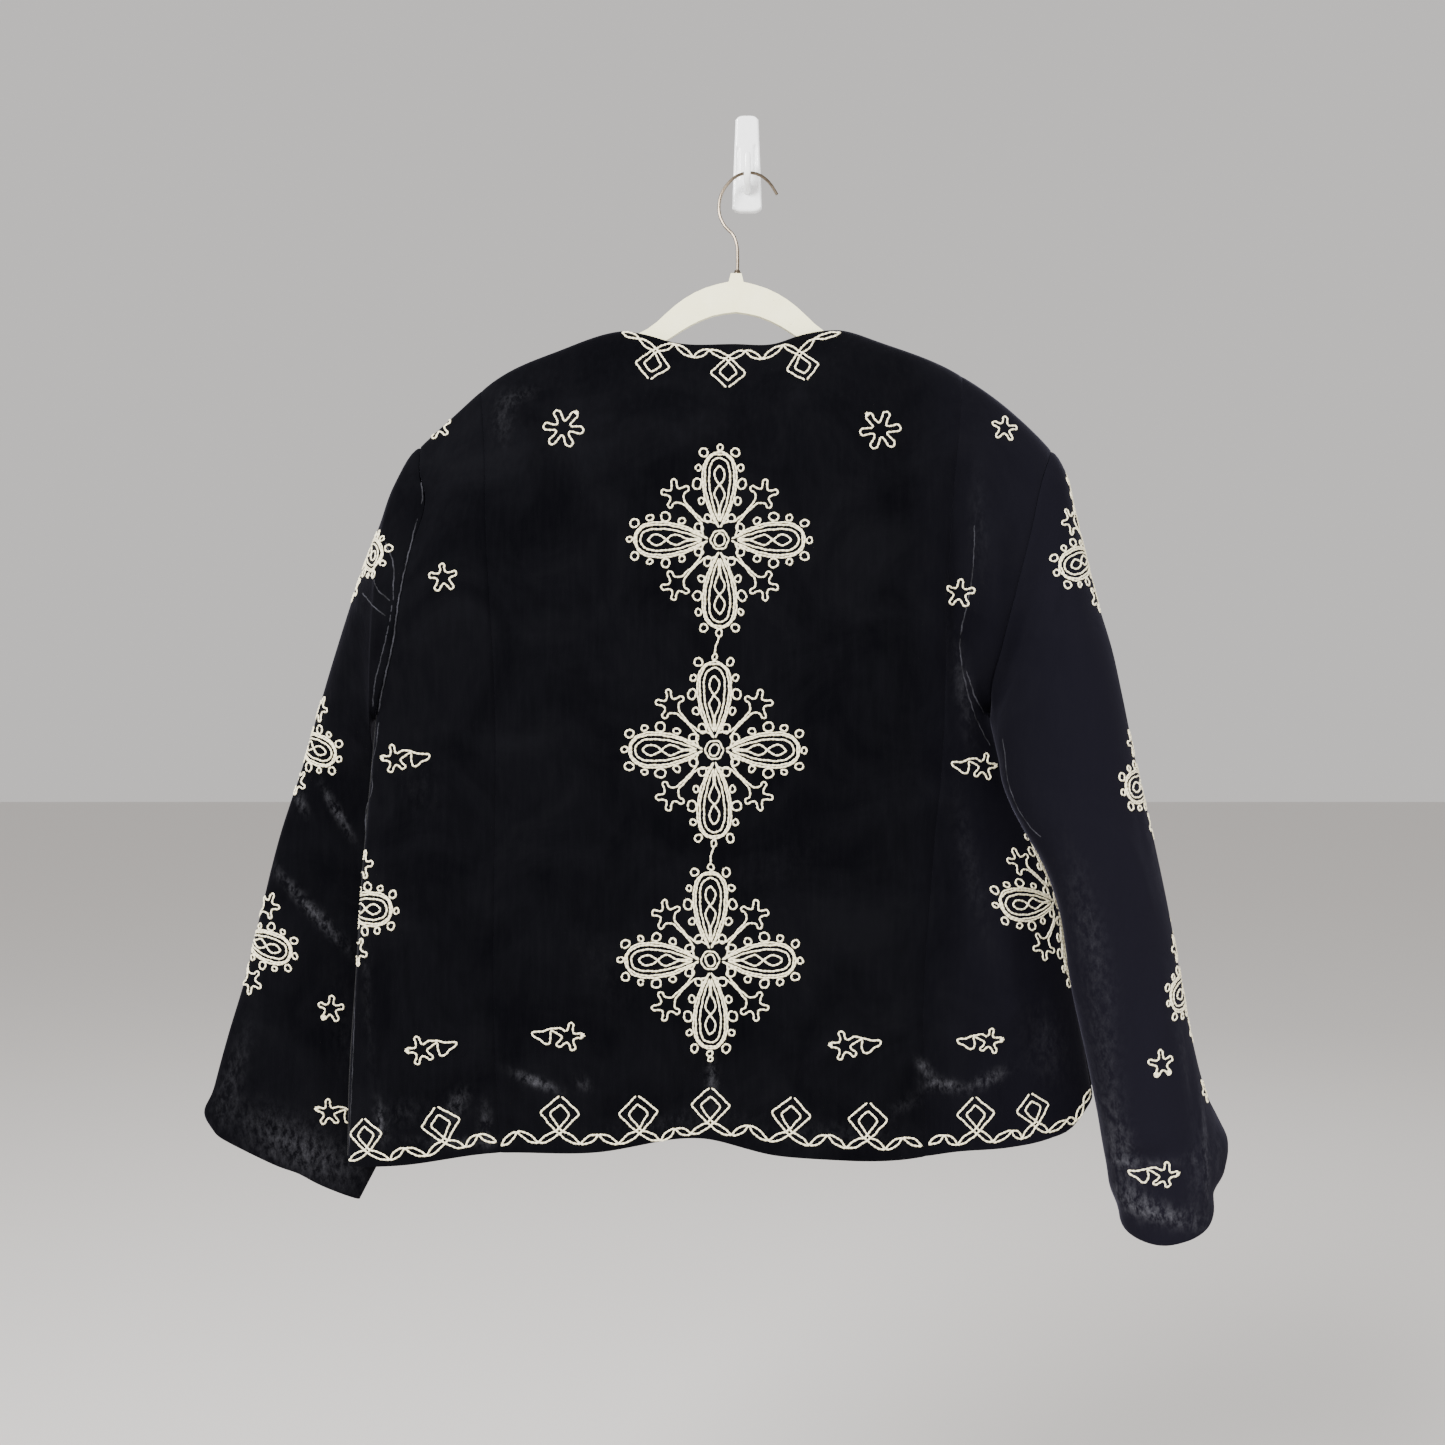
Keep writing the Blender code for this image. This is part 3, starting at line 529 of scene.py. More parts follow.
# Side backs
# One on each side, from the shaped seam to the armhole and down to the side fold.
def outer_edge(armhole, side_seam, rows):
    """Points down an armhole and then down the side seam below it."""
    on_armhole = rows <= ARMHOLE_SHARE + 1e-9
    upper = along(armhole, rows[on_armhole] / ARMHOLE_SHARE)
    lower = along(side_seam, (rows[~on_armhole] - ARMHOLE_SHARE) / (1.0 - ARMHOLE_SHARE))
    return np.concatenate([upper, lower])


def armhole_dip(rows, columns, width):
    """How far the cloth turns in along the armhole, and not below it."""
    return seam_dip(1.0 - columns, width)[None, :] * ease((ARMHOLE_SHARE - rows) / ARMHOLE_EASE)[:, None]


def side_back(seam, armhole, side_seam, outward):
    """Grid of a side back."""
    rows, columns = body_rows(), fine_steps(SIDE_WIDTH, CLOTH_STEP)
    outer = outer_edge(armhole, side_seam, rows)
    flat = panel(along(seam, rows), outer, rows, columns, shoulder_line)
    dip = seam_dip(columns, SIDE_WIDTH)[None, :] + armhole_dip(rows, columns, SIDE_WIDTH)
    if outward < 0:
        flat, dip = flat[:, ::-1], dip[:, ::-1]
    return lay_out(flat, -1, dip)


points = side_back(LEFT_SEAM, LEFT_ARMHOLE, LEFT_SIDE_SEAM, -1)
cloth_piece("side_back_left", "back_side_left", points, crush_and_highlight_at(points, BACK_CRUSH_AND_HIGHLIGHTS))
points = side_back(RIGHT_SEAM, RIGHT_ARMHOLE, RIGHT_SIDE_SEAM, 1)
cloth_piece("side_back_right", "back_side_right", points, crush_and_highlight_at(points, BACK_CRUSH_AND_HIGHLIGHTS))


# Fronts
# They hang towards the wall, a little apart, with a round neckline and no fastening.
FRONT_OPENING, FRONT_MIDDLE, FRONT_NECK_DROP = 14.0, -14.0, -238.0
FRONT_HEM, FRONT_HEM_LIFT = -776.0, 7.0
FRONT_WIDTH, FRONT_STEP = 0.26, 4.5 * MM
FRONT_EDGE_SHARES = (0.12, 0.4, 0.7, 1.0)


def front(armhole, side_seam, neck_point, outward):
    """Grid of a front."""
    rows, columns = body_rows(), fine_steps(FRONT_WIDTH, FRONT_STEP)
    edge_x = FRONT_MIDDLE + outward * FRONT_OPENING / 2
    hem = BACK_HEM[0].z if outward < 0 else BACK_HEM[-1].z
    middle_hem = FRONT_HEM + FRONT_HEM_LIFT
    reach = neck_point.x - edge_x
    drop = neck_point.z - FRONT_NECK_DROP
    opening = [Place(edge_x + reach * math.cos(turn), neck_point.z - drop * math.sin(turn))
               for turn in np.linspace(0.0, math.pi / 2, 7)]
    opening += [Place(edge_x, FRONT_NECK_DROP + (middle_hem - FRONT_NECK_DROP) * share)
                for share in FRONT_EDGE_SHARES]
    side = side_seam[:-1] + [Place(side_seam[-1].x, hem + FRONT_HEM_LIFT)]
    outer = outer_edge(armhole, side, rows)
    flat = panel(along(opening, rows), outer, rows, columns, shoulder_line, FRONT_HEM_LIFT * MM)
    dip = armhole_dip(rows, columns, FRONT_WIDTH)
    if outward < 0:
        flat, dip = flat[:, ::-1], dip[:, ::-1]
    return lay_out(flat, 1, dip)


points = front(LEFT_ARMHOLE, LEFT_SIDE_SEAM, BACK_NECK[0], -1)
cloth_piece("front_panel_left", "front_left", points, crush_and_highlight_at(points, FRONT_CRUSH_AND_HIGHLIGHTS))
points = front(RIGHT_ARMHOLE, RIGHT_SIDE_SEAM, BACK_NECK[-1], 1)
cloth_piece("front_panel_right", "front_right", points, crush_and_highlight_at(points, FRONT_CRUSH_AND_HIGHLIGHTS))


# Sleeves
# Set-in sleeves, each a tube that flattens as it hangs. The left one hangs behind the body's
# edge, the right one in front of it.
Section = namedtuple("Section", "outer_x outer_z outer_y inner_x inner_z inner_y back front lean")
LEFT_SLEEVE = table(
    Section, (-277, -262, -36, -291, -451, -56, 34, 24, 0), (-288, -292, -36, -292, -462, -51, 33, 22, 0),
    (-303, -330, -35, -291, -476, -45, 30, 20, 0), (-325, -395, -33, -286, -492, -38, 25, 18, 0),
    (-339, -440, -31, -279, -508, -32, 21, 17, 0), (-352, -484, -29, -269, -534, -27, 19, 16, 0),
    (-370, -538, -28, -259, -572, -25, 18, 16, 0), (-385, -597, -28, -255, -622, -25, 18, 16, 0),
    (-398, -653, -29, -258, -676, -26, 18, 16, 0), (-411, -698, -31, -267, -730, -27, 18, 16, 0),
    (-422, -741, -33, -285, -784, -29, 17, 15, 0), (-428, -771, -34, -307, -828, -31, 15, 13, -1),
)
RIGHT_SLEEVE = table(
    Section, (248, -250, -38, 189, -448, -44, 42, 26, 0), (256, -285, -42, 190, -456, -53, 42, 27, 0),
    (264, -322, -47, 191, -467, -62, 42, 28, 0), (272, -358, -53, 193, -480, -68, 41, 30, 0),
    (281, -393, -60, 194, -495, -76, 39, 33, 0), (288, -431, -66, 199, -512, -83, 38, 34, 0),
    (296, -478, -72, 208, -532, -91, 38, 33, 0), (307, -531, -77, 223, -560, -96, 38, 33, 0),
    (318, -586, -80, 235, -597, -97, 38, 34, 0), (328, -642, -82, 243, -650, -96, 38, 34, 4),
    (337, -690, -82, 254, -700, -95, 38, 34, 10), (349, -733, -80, 263, -745, -94, 38, 34, 20),
    (366, -774, -76, 272, -789, -92, 38, 32, 30), (361, -792, -76, 283, -820, -91, 36, 30, 29),
)
LEFT_SLEEVE_LINES = table(
    Crease, (-341, -496, -322, -530, 2, 5, 2.8), (-366, -500, -352, -524, 1, 4, 1.8),
    (-382, -566, -340, -608, -6, 6, 3.4), (-345, -604, -306, -632, 2, 5, 2.6),
    (-290, -330, -276, -352, 2, 5, 1.5), (-312, -340, -290, -366, 3, 5, 1.4),
    (-300, -400, -320, -470, 4, 7, -1.6), (-330, -640, -360, -700, 4, 7, -1.6),
    (-300, -690, -330, -770, -4, 8, 1.6), (-404, -700, -380, -760, 3, 6, 1.5),
    (-350, -740, -300, -800, -3, 6, -1.5), (-396, -760, -350, -795, 3, 5, 1.2),
)
RIGHT_SLEEVE_LINES = table(
    Crease, (240, -340, 228, -378, 3, 5, 2.0), (228, -378, 202, -412, -3, 5, -2.0),
    (268, -520, 300, -600, -6, 5, 1.8), (288, -480, 298, -560, 2, 4, -1.5), (306, -620, 312, -690, 2, 5, 1.6),
    (330, -680, 330, -740, 1, 4, -1.5), (236, -560, 260, -740, 6, 8, -2.0), (250, -600, 282, -800, 4, 7, 2.0),
    (272, -770, 314, -768, 3, 6, -2.5), (278, -800, 318, -820, 3, 6, 2.0), (338, -720, 340, -812, 2, 4, 3.0),
    (246, -300, 262, -420, 4, 8, 1.4), (214, -430, 240, -520, 5, 8, -1.6), (270, -640, 296, -720, -4, 7, -1.4),
)
# On the sleeves: crushed pile at the cuffs, and painted highlights along the folds.
SLEEVE_CRUSH_AND_HIGHLIGHTS_LEFT = table(
    CrushAndHighlight, (-350, -786, 60, 22, -28, 0.6), (-404, -726, 10, 40, -18, 0.35), (-342, -598, 46, 5, -46, 0.8),
    (-321, -522, 24, 4, -60, 0.8), (-352, -514, 13, 4, -55, 0.6), (-312, -700, 16, 60, 12, 0.15),
    (-396, -640, 6, 50, -18, 0.2), (-340, -470, 6, 60, -16, 0.2),
)
SLEEVE_CRUSH_AND_HIGHLIGHTS_RIGHT = table(
    CrushAndHighlight, (250, -600, 12, 60, 14, 0.32), (262, -690, 12, 60, 10, 0.3), (276, -770, 10, 40, 14, 0.6),
    (300, -812, 36, 9, -18, 1.0), (306, -560, 5, 50, 10, 0.3), (352, -770, 7, 40, 0, 0.3),
    (340, -768, 3, 46, 1, 0.8), (322, -690, 5, 60, 8, 0.3), (300, -776, 30, 4, 4, 0.5),
    (330, -790, 8, 30, 0, 0.35),
)
# Corners and dents of the cuffs: where, how far across and up, over what distance
Nudge = namedtuple("Nudge", "x z across up reach")
LEFT_CUFF = table(Nudge, (-430, -776, 6, 2, 9), (-424, -757, -4, 0, 10), (-350, -802, 0, 2, 12))
RIGHT_CUFF = table(
    Nudge, (284, -828, -4, -1, 12), (277, -802, -3, 0, 14), (342, -830, 2, -2, 12), (356, -804, -6, 0, 12),
    (332, -840, 0, -2, 9), (358, -785, -3, 0, 6), (360, -768, 2, 0, 7),
)
SLEEVE_LEAD, SLEEVE_TURNS, SLEEVE_EASE = 14.0, 88, 0.03


def armhole_ring(armhole, turns, outward, shift):
    """The armhole's edge as a closed ring on the body, moved across by a shift."""
    places = along(armhole, (1.0 - np.cos(turns)) / 2)
    x, z = places[:, 0], places[:, 1]
    back, front_side = body_surface(x, z, -1), body_surface(x, z, 1)
    y = np.where(np.sin(turns) > 0, back, front_side)
    y = np.where(np.abs(np.sin(turns)) < 1e-6, (back + front_side) / 2, y)
    return np.stack([x + outward * shift, y, z], axis=1)


def nudged(grid, nudges):
    """Points pushed a little across and up or down near some places."""
    moved = grid.copy()
    for one in nudges:
        away = np.hypot(grid[..., 0] - one.x * MM, grid[..., 2] - one.z * MM) / (one.reach * MM)
        moved[..., 0] += one.across * MM * np.exp(-away ** 2)
        moved[..., 2] += one.up * MM * np.exp(-away ** 2)
    return moved


def sleeve(armhole, sections, lines, nudges, outward):
    """Grid of a sleeve, lofted through its sections from the armhole down."""
    turns = np.arange(SLEEVE_TURNS) * 2.0 * math.pi / SLEEVE_TURNS
    start = armhole_ring(armhole, turns, outward, 0.0)
    under = ((1.0 - np.cos(turns)) / 2)[:, None] ** 3
    before = armhole_ring(armhole, turns, outward, -SLEEVE_LEAD * MM) * (1.0 - under)
    before = before + (start + np.array([0.0, 0.0, SLEEVE_LEAD * MM])) * under
    rings, sine, blend = [before, start], np.sin(turns), ((1.0 + np.cos(turns)) / 2)[:, None]
    for part in sections:
        outer = np.array([part.outer_x, part.outer_y, part.outer_z]) * MM
        inner = np.array([part.inner_x, part.inner_y, part.inner_z]) * MM
        ring = outer * blend + inner * (1.0 - blend)
        ring[:, 1] -= np.where(sine > 0, part.back, part.front) * MM * sine
        ring[:, 2] -= part.lean * MM * sine
        rings.append(ring)
    rings = np.array(rings)
    steps = np.linalg.norm(np.diff(rings, axis=0), axis=2).mean(axis=1)
    knots = np.concatenate([[0.0], np.cumsum(steps)]) - steps[0]
    down = fine_steps(knots[-1], CLOTH_STEP)
    points = spline(knots, rings, down * knots[-1])
    sine = np.sin(turns)[None, :]
    push = creased(points[..., 0], points[..., 2], lines) * np.sqrt(np.abs(sine)) * np.sign(sine)
    push = push * ease(down * knots[-1] / SLEEVE_EASE)[:, None]
    points[..., 1] -= push
    grid = nudged(points, nudges)
    away = grid - grid.mean(axis=1, keepdims=True)
    dip = SEAM_DIP * np.exp(-down * knots[-1] / SEAM_SOFT)[:, None, None]
    return grid - dip * unit(away)


left_sleeve = sleeve(LEFT_ARMHOLE, LEFT_SLEEVE, LEFT_SLEEVE_LINES, LEFT_CUFF, -1)
right_sleeve = sleeve(RIGHT_ARMHOLE, RIGHT_SLEEVE, RIGHT_SLEEVE_LINES, RIGHT_CUFF, 1)
cloth_piece("left_sleeve", "sleeve_left", left_sleeve, crush_and_highlight_at(left_sleeve, SLEEVE_CRUSH_AND_HIGHLIGHTS_LEFT),
            closed=True)
cloth_piece("right_sleeve", "sleeve_right", right_sleeve[:, ::-1],
            crush_and_highlight_at(right_sleeve, SLEEVE_CRUSH_AND_HIGHLIGHTS_RIGHT)[:, ::-1], closed=True)


# Embroidery on the back
# Ivory chain stitch: three medallions of four petals, joined down the middle, two flowers, small
# stars and sprigs of a star and a leaf. Each line is a raised rope of small links.
STITCH, STITCH_STEPS = 3.3 * MM, 4
STRAND, STRAND_RISE = 1.40 * MM, 0.70 * MM
HAND_WOBBLE = 0.28           # mm, how far a hand-guided line strays
WOBBLE_RUNS = np.array([2.9, 1.3, 2.7, 1.4])     # mm, over what length, two across and two down
STITCH_SECTION = np.array([(-0.5, -0.20), (-0.24, 1.0), (0.24, 1.0), (0.5, -0.20)])
LINK_LEAST, LINK_SWELL, LINE_END = 0.80, 0.32, 0.45      # shares of a link's full size
NEARBY = 0.5 * MM            # over what distance the slope of the cloth is taken


def thread_material():
    """Ivory cotton thread in chain stitch, with painted shade: darker yellow in the hollows between links and
    at their sides.
    """
    material, _ = new_material("ivory chain stitch thread")
    where = add_node(material, "ShaderNodeUVMap", {"uv_map": "stitch"}).outputs["UV"]
    split = add_node(material, "ShaderNodeSeparateXYZ", links={"Vector": where})
    aside = reckoned(material, "ABSOLUTE", reckoned(material, "SUBTRACT", split.outputs["Y"], 0.5))
    link = reckoned(material, "FRACT", reckoned(material, "ADD", split.outputs["X"], aside))
    height = reckoned(material, "MULTIPLY", ranged(material, link, 0.0, 0.22),
                      ranged(material, aside, 0.0, 0.08, 0.45))
    # Painted shade: from ivory on top of each link to a darker yellow in the hollows between links and at the
    # sides.
    return shaded(material, {"Base Color": mixed(material, height, "#b9a96c", "#fff6d4"), "Roughness": 0.62,
                             "Normal": bumped(material, height, 0.6, 0.5), "Sheen Weight": 0.25})


thread = thread_material()
hand = np.random.default_rng(11)


def smooth_line(points, closed=False, step=1.0):
    """Curve through points, in millimetres, at even steps."""
    points = np.asarray(points, dtype=float)
    if closed:
        points = np.concatenate([points[-2:], points, points[:3]])
    lengths = np.concatenate([[0.0], np.cumsum(np.maximum(np.hypot(*np.diff(points, axis=0).T), 1e-6))])
    first, last = (lengths[2], lengths[-3]) if closed else (0.0, lengths[-1])
    return spline(lengths, points, np.linspace(first, last, max(int((last - first) / step), 2) + 1))


def cornered(points, radius):
    """Straight lines between points, with rounded corners."""
    points = np.asarray(points, dtype=float)
    line = [points[0]]
    for before, corner, after in zip(points, points[1:], points[2:]):
        back, on = before - corner, after - corner
        cut = min(radius, np.hypot(*back) * 0.45, np.hypot(*on) * 0.45)
        start, end = corner + back / np.hypot(*back) * cut, corner + on / np.hypot(*on) * cut
        for share in np.linspace(0.0, 1.0, 5):
            line.append((1 - share) ** 2 * start + 2 * share * (1 - share) * corner + share ** 2 * end)
    line.append(points[-1])
    return np.array(line)


RING_UNEVEN, RING_SIZES = 0.07, (0.92, 1.08)


def circle(x, z, radius, tall=1.0):
    """Small stitched ring, a little uneven as a hand makes it."""
    turns = np.linspace(0.0, 2.0 * math.pi, 17) + hand.uniform(0.0, 6.0)
    uneven = 1.0 + RING_UNEVEN * np.cos(2.0 * turns + hand.uniform(0.0, 6.0))
    radius = radius * hand.uniform(*RING_SIZES)
    return np.stack([x + radius * uneven * np.cos(turns), z + radius * tall * uneven * np.sin(turns)], axis=1)


def turned(lines, x, z, angle, size=1.0, mirrored=False):
    """Lines mirrored, turned, sized and moved to a place."""
    cos, sin = math.cos(math.radians(angle)) * size, math.sin(math.radians(angle)) * size
    matrix = np.array([[cos, sin], [-sin, cos]])
    flip = np.array([-1.0 if mirrored else 1.0, 1.0])
    return [np.asarray(line) * flip @ matrix + np.array([x, z]) for line in lines]


Outline = namedtuple("Outline", "out half")
PETAL_EDGE = table(
    Outline, (9.4, 0.8), (14.5, 3.8), (21, 7.3), (29.5, 10.6), (38, 12.6), (46.5, 13.3), (54.5, 12.9),
    (61, 10.6), (65.4, 6.2), (67.3, 0),
)
PETAL_INSIDE = table(
    Outline, (15, 1.0), (22, 3.6), (31, 6.2), (41, 7.9), (50, 8.2), (56.5, 7.2), (60.8, 4.6), (62.6, 0),
)
PETAL_DOUBLED = 1.75         # mm between the two lines of its edge
PETAL_NARROW = 8.0           # mm, half width below which the inner one draws in less
PETAL_WAIST = 30.0           # mm from the middle, beyond which it draws down instead
PETAL_RING_TALL = 1.1
FIGURE_EIGHT = table(
    Outline, (56.8, 0), (53.5, 2.9), (49.5, 4.0), (46, 3.0), (41.8, 0), (38.5, -2.7), (35, -4.1), (31, -2.9),
    (26.5, -0.95), (14, -0.8),
)
Loop = namedtuple("Loop", "aside out radius")
PETAL_LOOPS = table(
    Loop, (0.4, 70.9, 2.2), (12.5, 67.0, 2.9), (16.7, 55.0, 2.2), (17.6, 42.6, 3.4), (14.4, 29.6, 2.4),
    (9.3, 16.3, 3.0),
)


def petal():
    """Petal that points up from the medallion's middle."""
    lines = []
    for outline, inset in ((PETAL_EDGE, 0.0), (PETAL_EDGE, PETAL_DOUBLED), (PETAL_INSIDE, 0.0)):
        right = []
        for row in outline:
            share = min(row.half / PETAL_NARROW, 1.0)
            drawn_down = inset * (1.0 - share) * (row.out > PETAL_WAIST)
            right.append((max(row.half - inset * share, 0.0), row.out - drawn_down))
        left = [(-x, z) for x, z in right[-2::-1]]
        lines.append(smooth_line(right + left))
    for side in (1, -1):
        lines.append(smooth_line([(side * row.half, row.out) for row in FIGURE_EIGHT]))
    for loop in PETAL_LOOPS:
        lines.append(circle(loop.aside, loop.out, loop.radius, PETAL_RING_TALL))
        if loop.aside > 1.0:
            lines.append(circle(-loop.aside, loop.out, loop.radius, PETAL_RING_TALL))
    return lines


# Points along a lobe, as shares of its length and half width
LOBE = ((0.66, -0.9), (0.88, -1.0), (1.0, 0.0), (0.88, 1.0), (0.66, 0.9))


def fingers(count, outer, notch, half, first):
    """Star or flower outline with finger-shaped lobes, from the notch before its first lobe."""
    points = []
    gap = math.radians(180.0 / count)
    for number in range(count):
        turn = math.radians(first + 360.0 * number / count)
        points.append((notch * math.cos(turn - gap), notch * math.sin(turn - gap)))
        for out, aside in LOBE:
            points.append((outer * out * math.cos(turn) - half * aside * math.sin(turn),
                           outer * out * math.sin(turn) + half * aside * math.cos(turn)))
    return points


STAR = dict(count=5, outer=11.6, notch=4.9, half=2.0)
STEM_STAR_OUT, STEM_HALF, STEM_END = 49.0, 0.95, 18.5


def stemmed_star():
    """Star at 45 degrees up and right of the medallion's middle, on its doubled stem."""
    star = [(x + STEM_STAR_OUT, z) for x, z in fingers(first=252.0, **STAR)][:-5]
    stem = [(STEM_STAR_OUT - 8.0, STEM_HALF * 1.6), (STEM_STAR_OUT - 13.0, STEM_HALF),
            (STEM_END + 4.0, STEM_HALF), (STEM_END, 1.6), (STEM_END - 3.2, 4.6), (STEM_END - 8.0, 7.2)]
    lower = [(x, -z) for x, z in stem[::-1]]
    return turned([smooth_line(lower + star[1:-1] + stem)], 0.0, 0.0, 45.0)


MIDDLE_RING, MIDDLE_WAVE, CENTRE_RING, CENTRE_TALL = 7.0, 0.4, 3.9, 1.12


def medallion(quarters=(0, 1, 2, 3)):
    """Four petals, four stars and the rings in the middle, or some quarters of it."""
    lines = []
    for quarter in quarters:
        lines += turned(petal(), 0.0, 0.0, 90.0 * quarter)
        lines += turned(stemmed_star(), 0.0, 0.0, 90.0 * quarter)
    turns = np.linspace(0.0, 2.0 * math.pi, 33)
    wavy = MIDDLE_RING + MIDDLE_WAVE * np.cos(6.0 * turns)
    lines.append(np.stack([wavy * np.cos(turns), wavy * np.sin(turns)], axis=1))
    lines.append(circle(0.0, 0.0, CENTRE_RING, CENTRE_TALL))
    return lines


KNOT_HALF, KNOT_ANGLES = 2.0, (20.0, 80.0, 140.0)


def knot(x, z):
    """Stitched end of a line: a few short stitches across each other."""
    ends = [KNOT_HALF * np.array([math.cos(turn), math.sin(turn)]) for turn in np.radians(KNOT_ANGLES)]
    return [np.array([(x, z) - end, (x, z), (x, z) + end]) for end in ends]


FLOWER = dict(count=6, outer=16.0, notch=5.8, half=2.7, first=52.0)


def six_lobed_flower():
    """Flower with six bulbous lobes and a knot at one."""
    tip, out = math.radians(FLOWER["first"]), FLOWER["outer"]
    return [smooth_line(fingers(**FLOWER), closed=True)] + knot(out * math.cos(tip), out * math.sin(tip))


STAR_FIRST, STAR_KNOT_OUT = 90.0, 9.0


def small_star(filled=()):
    """Five-lobed star; some lobes can be worked solid."""
    lines = [smooth_line(fingers(first=STAR_FIRST, **STAR), closed=True)]
    for lobe in filled:
        turn = math.radians(STAR_FIRST + 360.0 / STAR["count"] * lobe)
        lines += knot(STAR_KNOT_OUT * math.cos(turn), STAR_KNOT_OUT * math.sin(turn))
    return lines


LEAF_TIP, LEAF_BASE, LEAF_LOW = 29.0, 13.5, -4.2


def star_and_leaf():
    """Sprig in one line: a star with a knotted lobe at the left, one lobe drawn out as a leaf."""
    star = fingers(first=108.0, **STAR)[:-5]
    leaf = [(LEAF_BASE - 5.0, 3.0), (LEAF_BASE, 5.6), (LEAF_BASE + 0.8, -1.0), (LEAF_BASE + 2.4, LEAF_LOW),
            (LEAF_BASE + 5.4, LEAF_LOW), (LEAF_BASE + 9.5, -0.6), (LEAF_TIP - 0.4, 3.5), (LEAF_TIP, 5.0),
            (LEAF_TIP - 8.5, 5.6), (LEAF_BASE + 0.8, 7.1), (LEAF_BASE - 3.4, 7.6), (LEAF_BASE - 6.4, 7.6)]
    return [smooth_line(star + leaf, closed=True)] + knot(-11.2, 0.0)


def embroider(name, lines, place, width=STRAND, rise=STRAND_RISE, material=None):
    """Mesh of raised chain stitch along lines on the cloth; place gives the cloth's points."""
    all_points, all_faces, all_uv, count = [], [], [], 0
    step = STITCH / STITCH_STEPS / MM
    for line in lines:
        line = np.asarray(line, dtype=float)
        lengths = lengths_along(line)
        number = max(int(lengths[-1] / step), 3)
        at = np.linspace(0.0, lengths[-1], number + 1)
        waves = np.sin(at[:, None] / WOBBLE_RUNS + hand.uniform(0.0, 6.0, 4))
        stray = HAND_WOBBLE * (waves[:, 0::2] + waves[:, 1::2]) * 0.5
        flat = np.stack([np.interp(at, lengths, line[:, 0]), np.interp(at, lengths, line[:, 1])], axis=1)
        flat = (flat + stray) * MM
        x, z = flat.T
        points = place(x, z)
        over = place(x + NEARBY, z) - place(x - NEARBY, z)
        up = place(x, z + NEARBY) - place(x, z - NEARBY)
        normal = unit(np.cross(over, up))
        side = unit(np.cross(normal, np.gradient(points, axis=0)))
        swell = LINK_LEAST + LINK_SWELL * np.abs(np.sin(math.pi * np.arange(number + 1) / STITCH_STEPS))
        swell[0] = swell[-1] = LINE_END
        swell = swell[:, None, None]
        aside, out = STITCH_SECTION.T
        ring = points[:, None, :] + side[:, None, :] * (aside * width)[None, :, None] * swell
        ring = ring + normal[:, None, :] * (out * rise)[None, :, None] * swell
        all_points.append(ring.reshape(-1, 3))
        all_faces.append(grid_faces(number + 1, 4, False) + count)
        uv = np.stack(np.broadcast_arrays(np.arange(number + 1)[:, None] / STITCH_STEPS,
                                          (aside + 0.5)[None, :]), axis=-1)
        all_uv.append(uv.reshape(-1, 2))
        count += (number + 1) * 4
    points, faces, uv = np.concatenate(all_points), np.concatenate(all_faces), np.concatenate(all_uv)
    mesh = new_mesh(name, points, faces[:, ::-1], material or thread)
    layer = mesh.uv_layers.new(name="stitch")
    corners = np.empty(len(mesh.loops), dtype=np.int32)
    mesh.loops.foreach_get("vertex_index", corners)
    layer.data.foreach_set("uv", uv[corners].reshape(-1).astype(np.float32))
    piece = new_object(name, mesh)
    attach(piece, "root")
    return piece


def on_back(x, z):
    """Points of the back's surface; what reaches past the shoulder line goes over on to the front."""
    over = np.maximum(z - height_at(SHOULDERS, x), 0.0)
    z = z - 2.0 * over
    return np.stack([x, np.where(over > 0, body_surface(x, z, 1), body_surface(x, z, -1)), z], axis=1)


def on_front(x, z):
    """Points of the fronts' surface, with x counted the other way so that lines face outwards."""
    return np.stack([-x, body_surface(-x, z, 1), z], axis=1)


MEDALLIONS = table(Place, (-22, -312), (-26, -472), (-29, -632))
NARROWED = 0.965             # width of a medallion to its height
MEDALLION_REACH = 73.2       # mm from its middle to its outermost ring's edge
LAST_RING = Loop(0.0, -75.5, 1.8)
LINK_BOW = 2.6               # mm by which the line between two medallions bows out
Motif = namedtuple("Motif", "x z angle size mirrored", defaults=(False,))
FLOWERS = table(Motif, (-142, -225, 0, 1), (101, -227, 0, 1, True))
SPRIGS = table(
    Motif, (-137, -690, 4, 0.95, True), (73, -697, -4, 0.95), (-271, -479, -4, 0.95), (-249, -700, 2, 0.95),
    (184, -694, 8, 0.85, True), (182, -485, 4, 0.9, True),
)
SMALL_STARS = table(
    Motif, (-243, -218, 10, 0.9), (199, -223, -8, 0.9), (-232, -341, 6, 0.95), (162, -352, -6, 0.95),
)


def set_out(motifs, make):
    """Lines of one kind of motif at all its places."""
    lines = []
    for one in motifs:
        lines += turned(make(), one.x, one.z, one.angle, one.size, one.mirrored)
    return lines


lines = []
for one in MEDALLIONS:
    lines += turned([line * (NARROWED, 1.0) for line in medallion()], one.x, one.z, 0.0)
for upper, lower in zip(MEDALLIONS, MEDALLIONS[1:]):
    start, end = upper.z - MEDALLION_REACH, lower.z + MEDALLION_REACH
    lines.append(smooth_line([(upper.x, start), (upper.x - LINK_BOW, (start + end) / 2), (lower.x, end)]))
lines.append(circle(MEDALLIONS[-1].x + LAST_RING.aside, MEDALLIONS[-1].z + LAST_RING.out, LAST_RING.radius))
embroider("medallions_on_back", lines, on_back)
lines = set_out(FLOWERS, six_lobed_flower) + set_out(SPRIGS, star_and_leaf) + set_out(SMALL_STARS, small_star)
embroider("flowers_and_sprigs_on_back", lines, on_back)


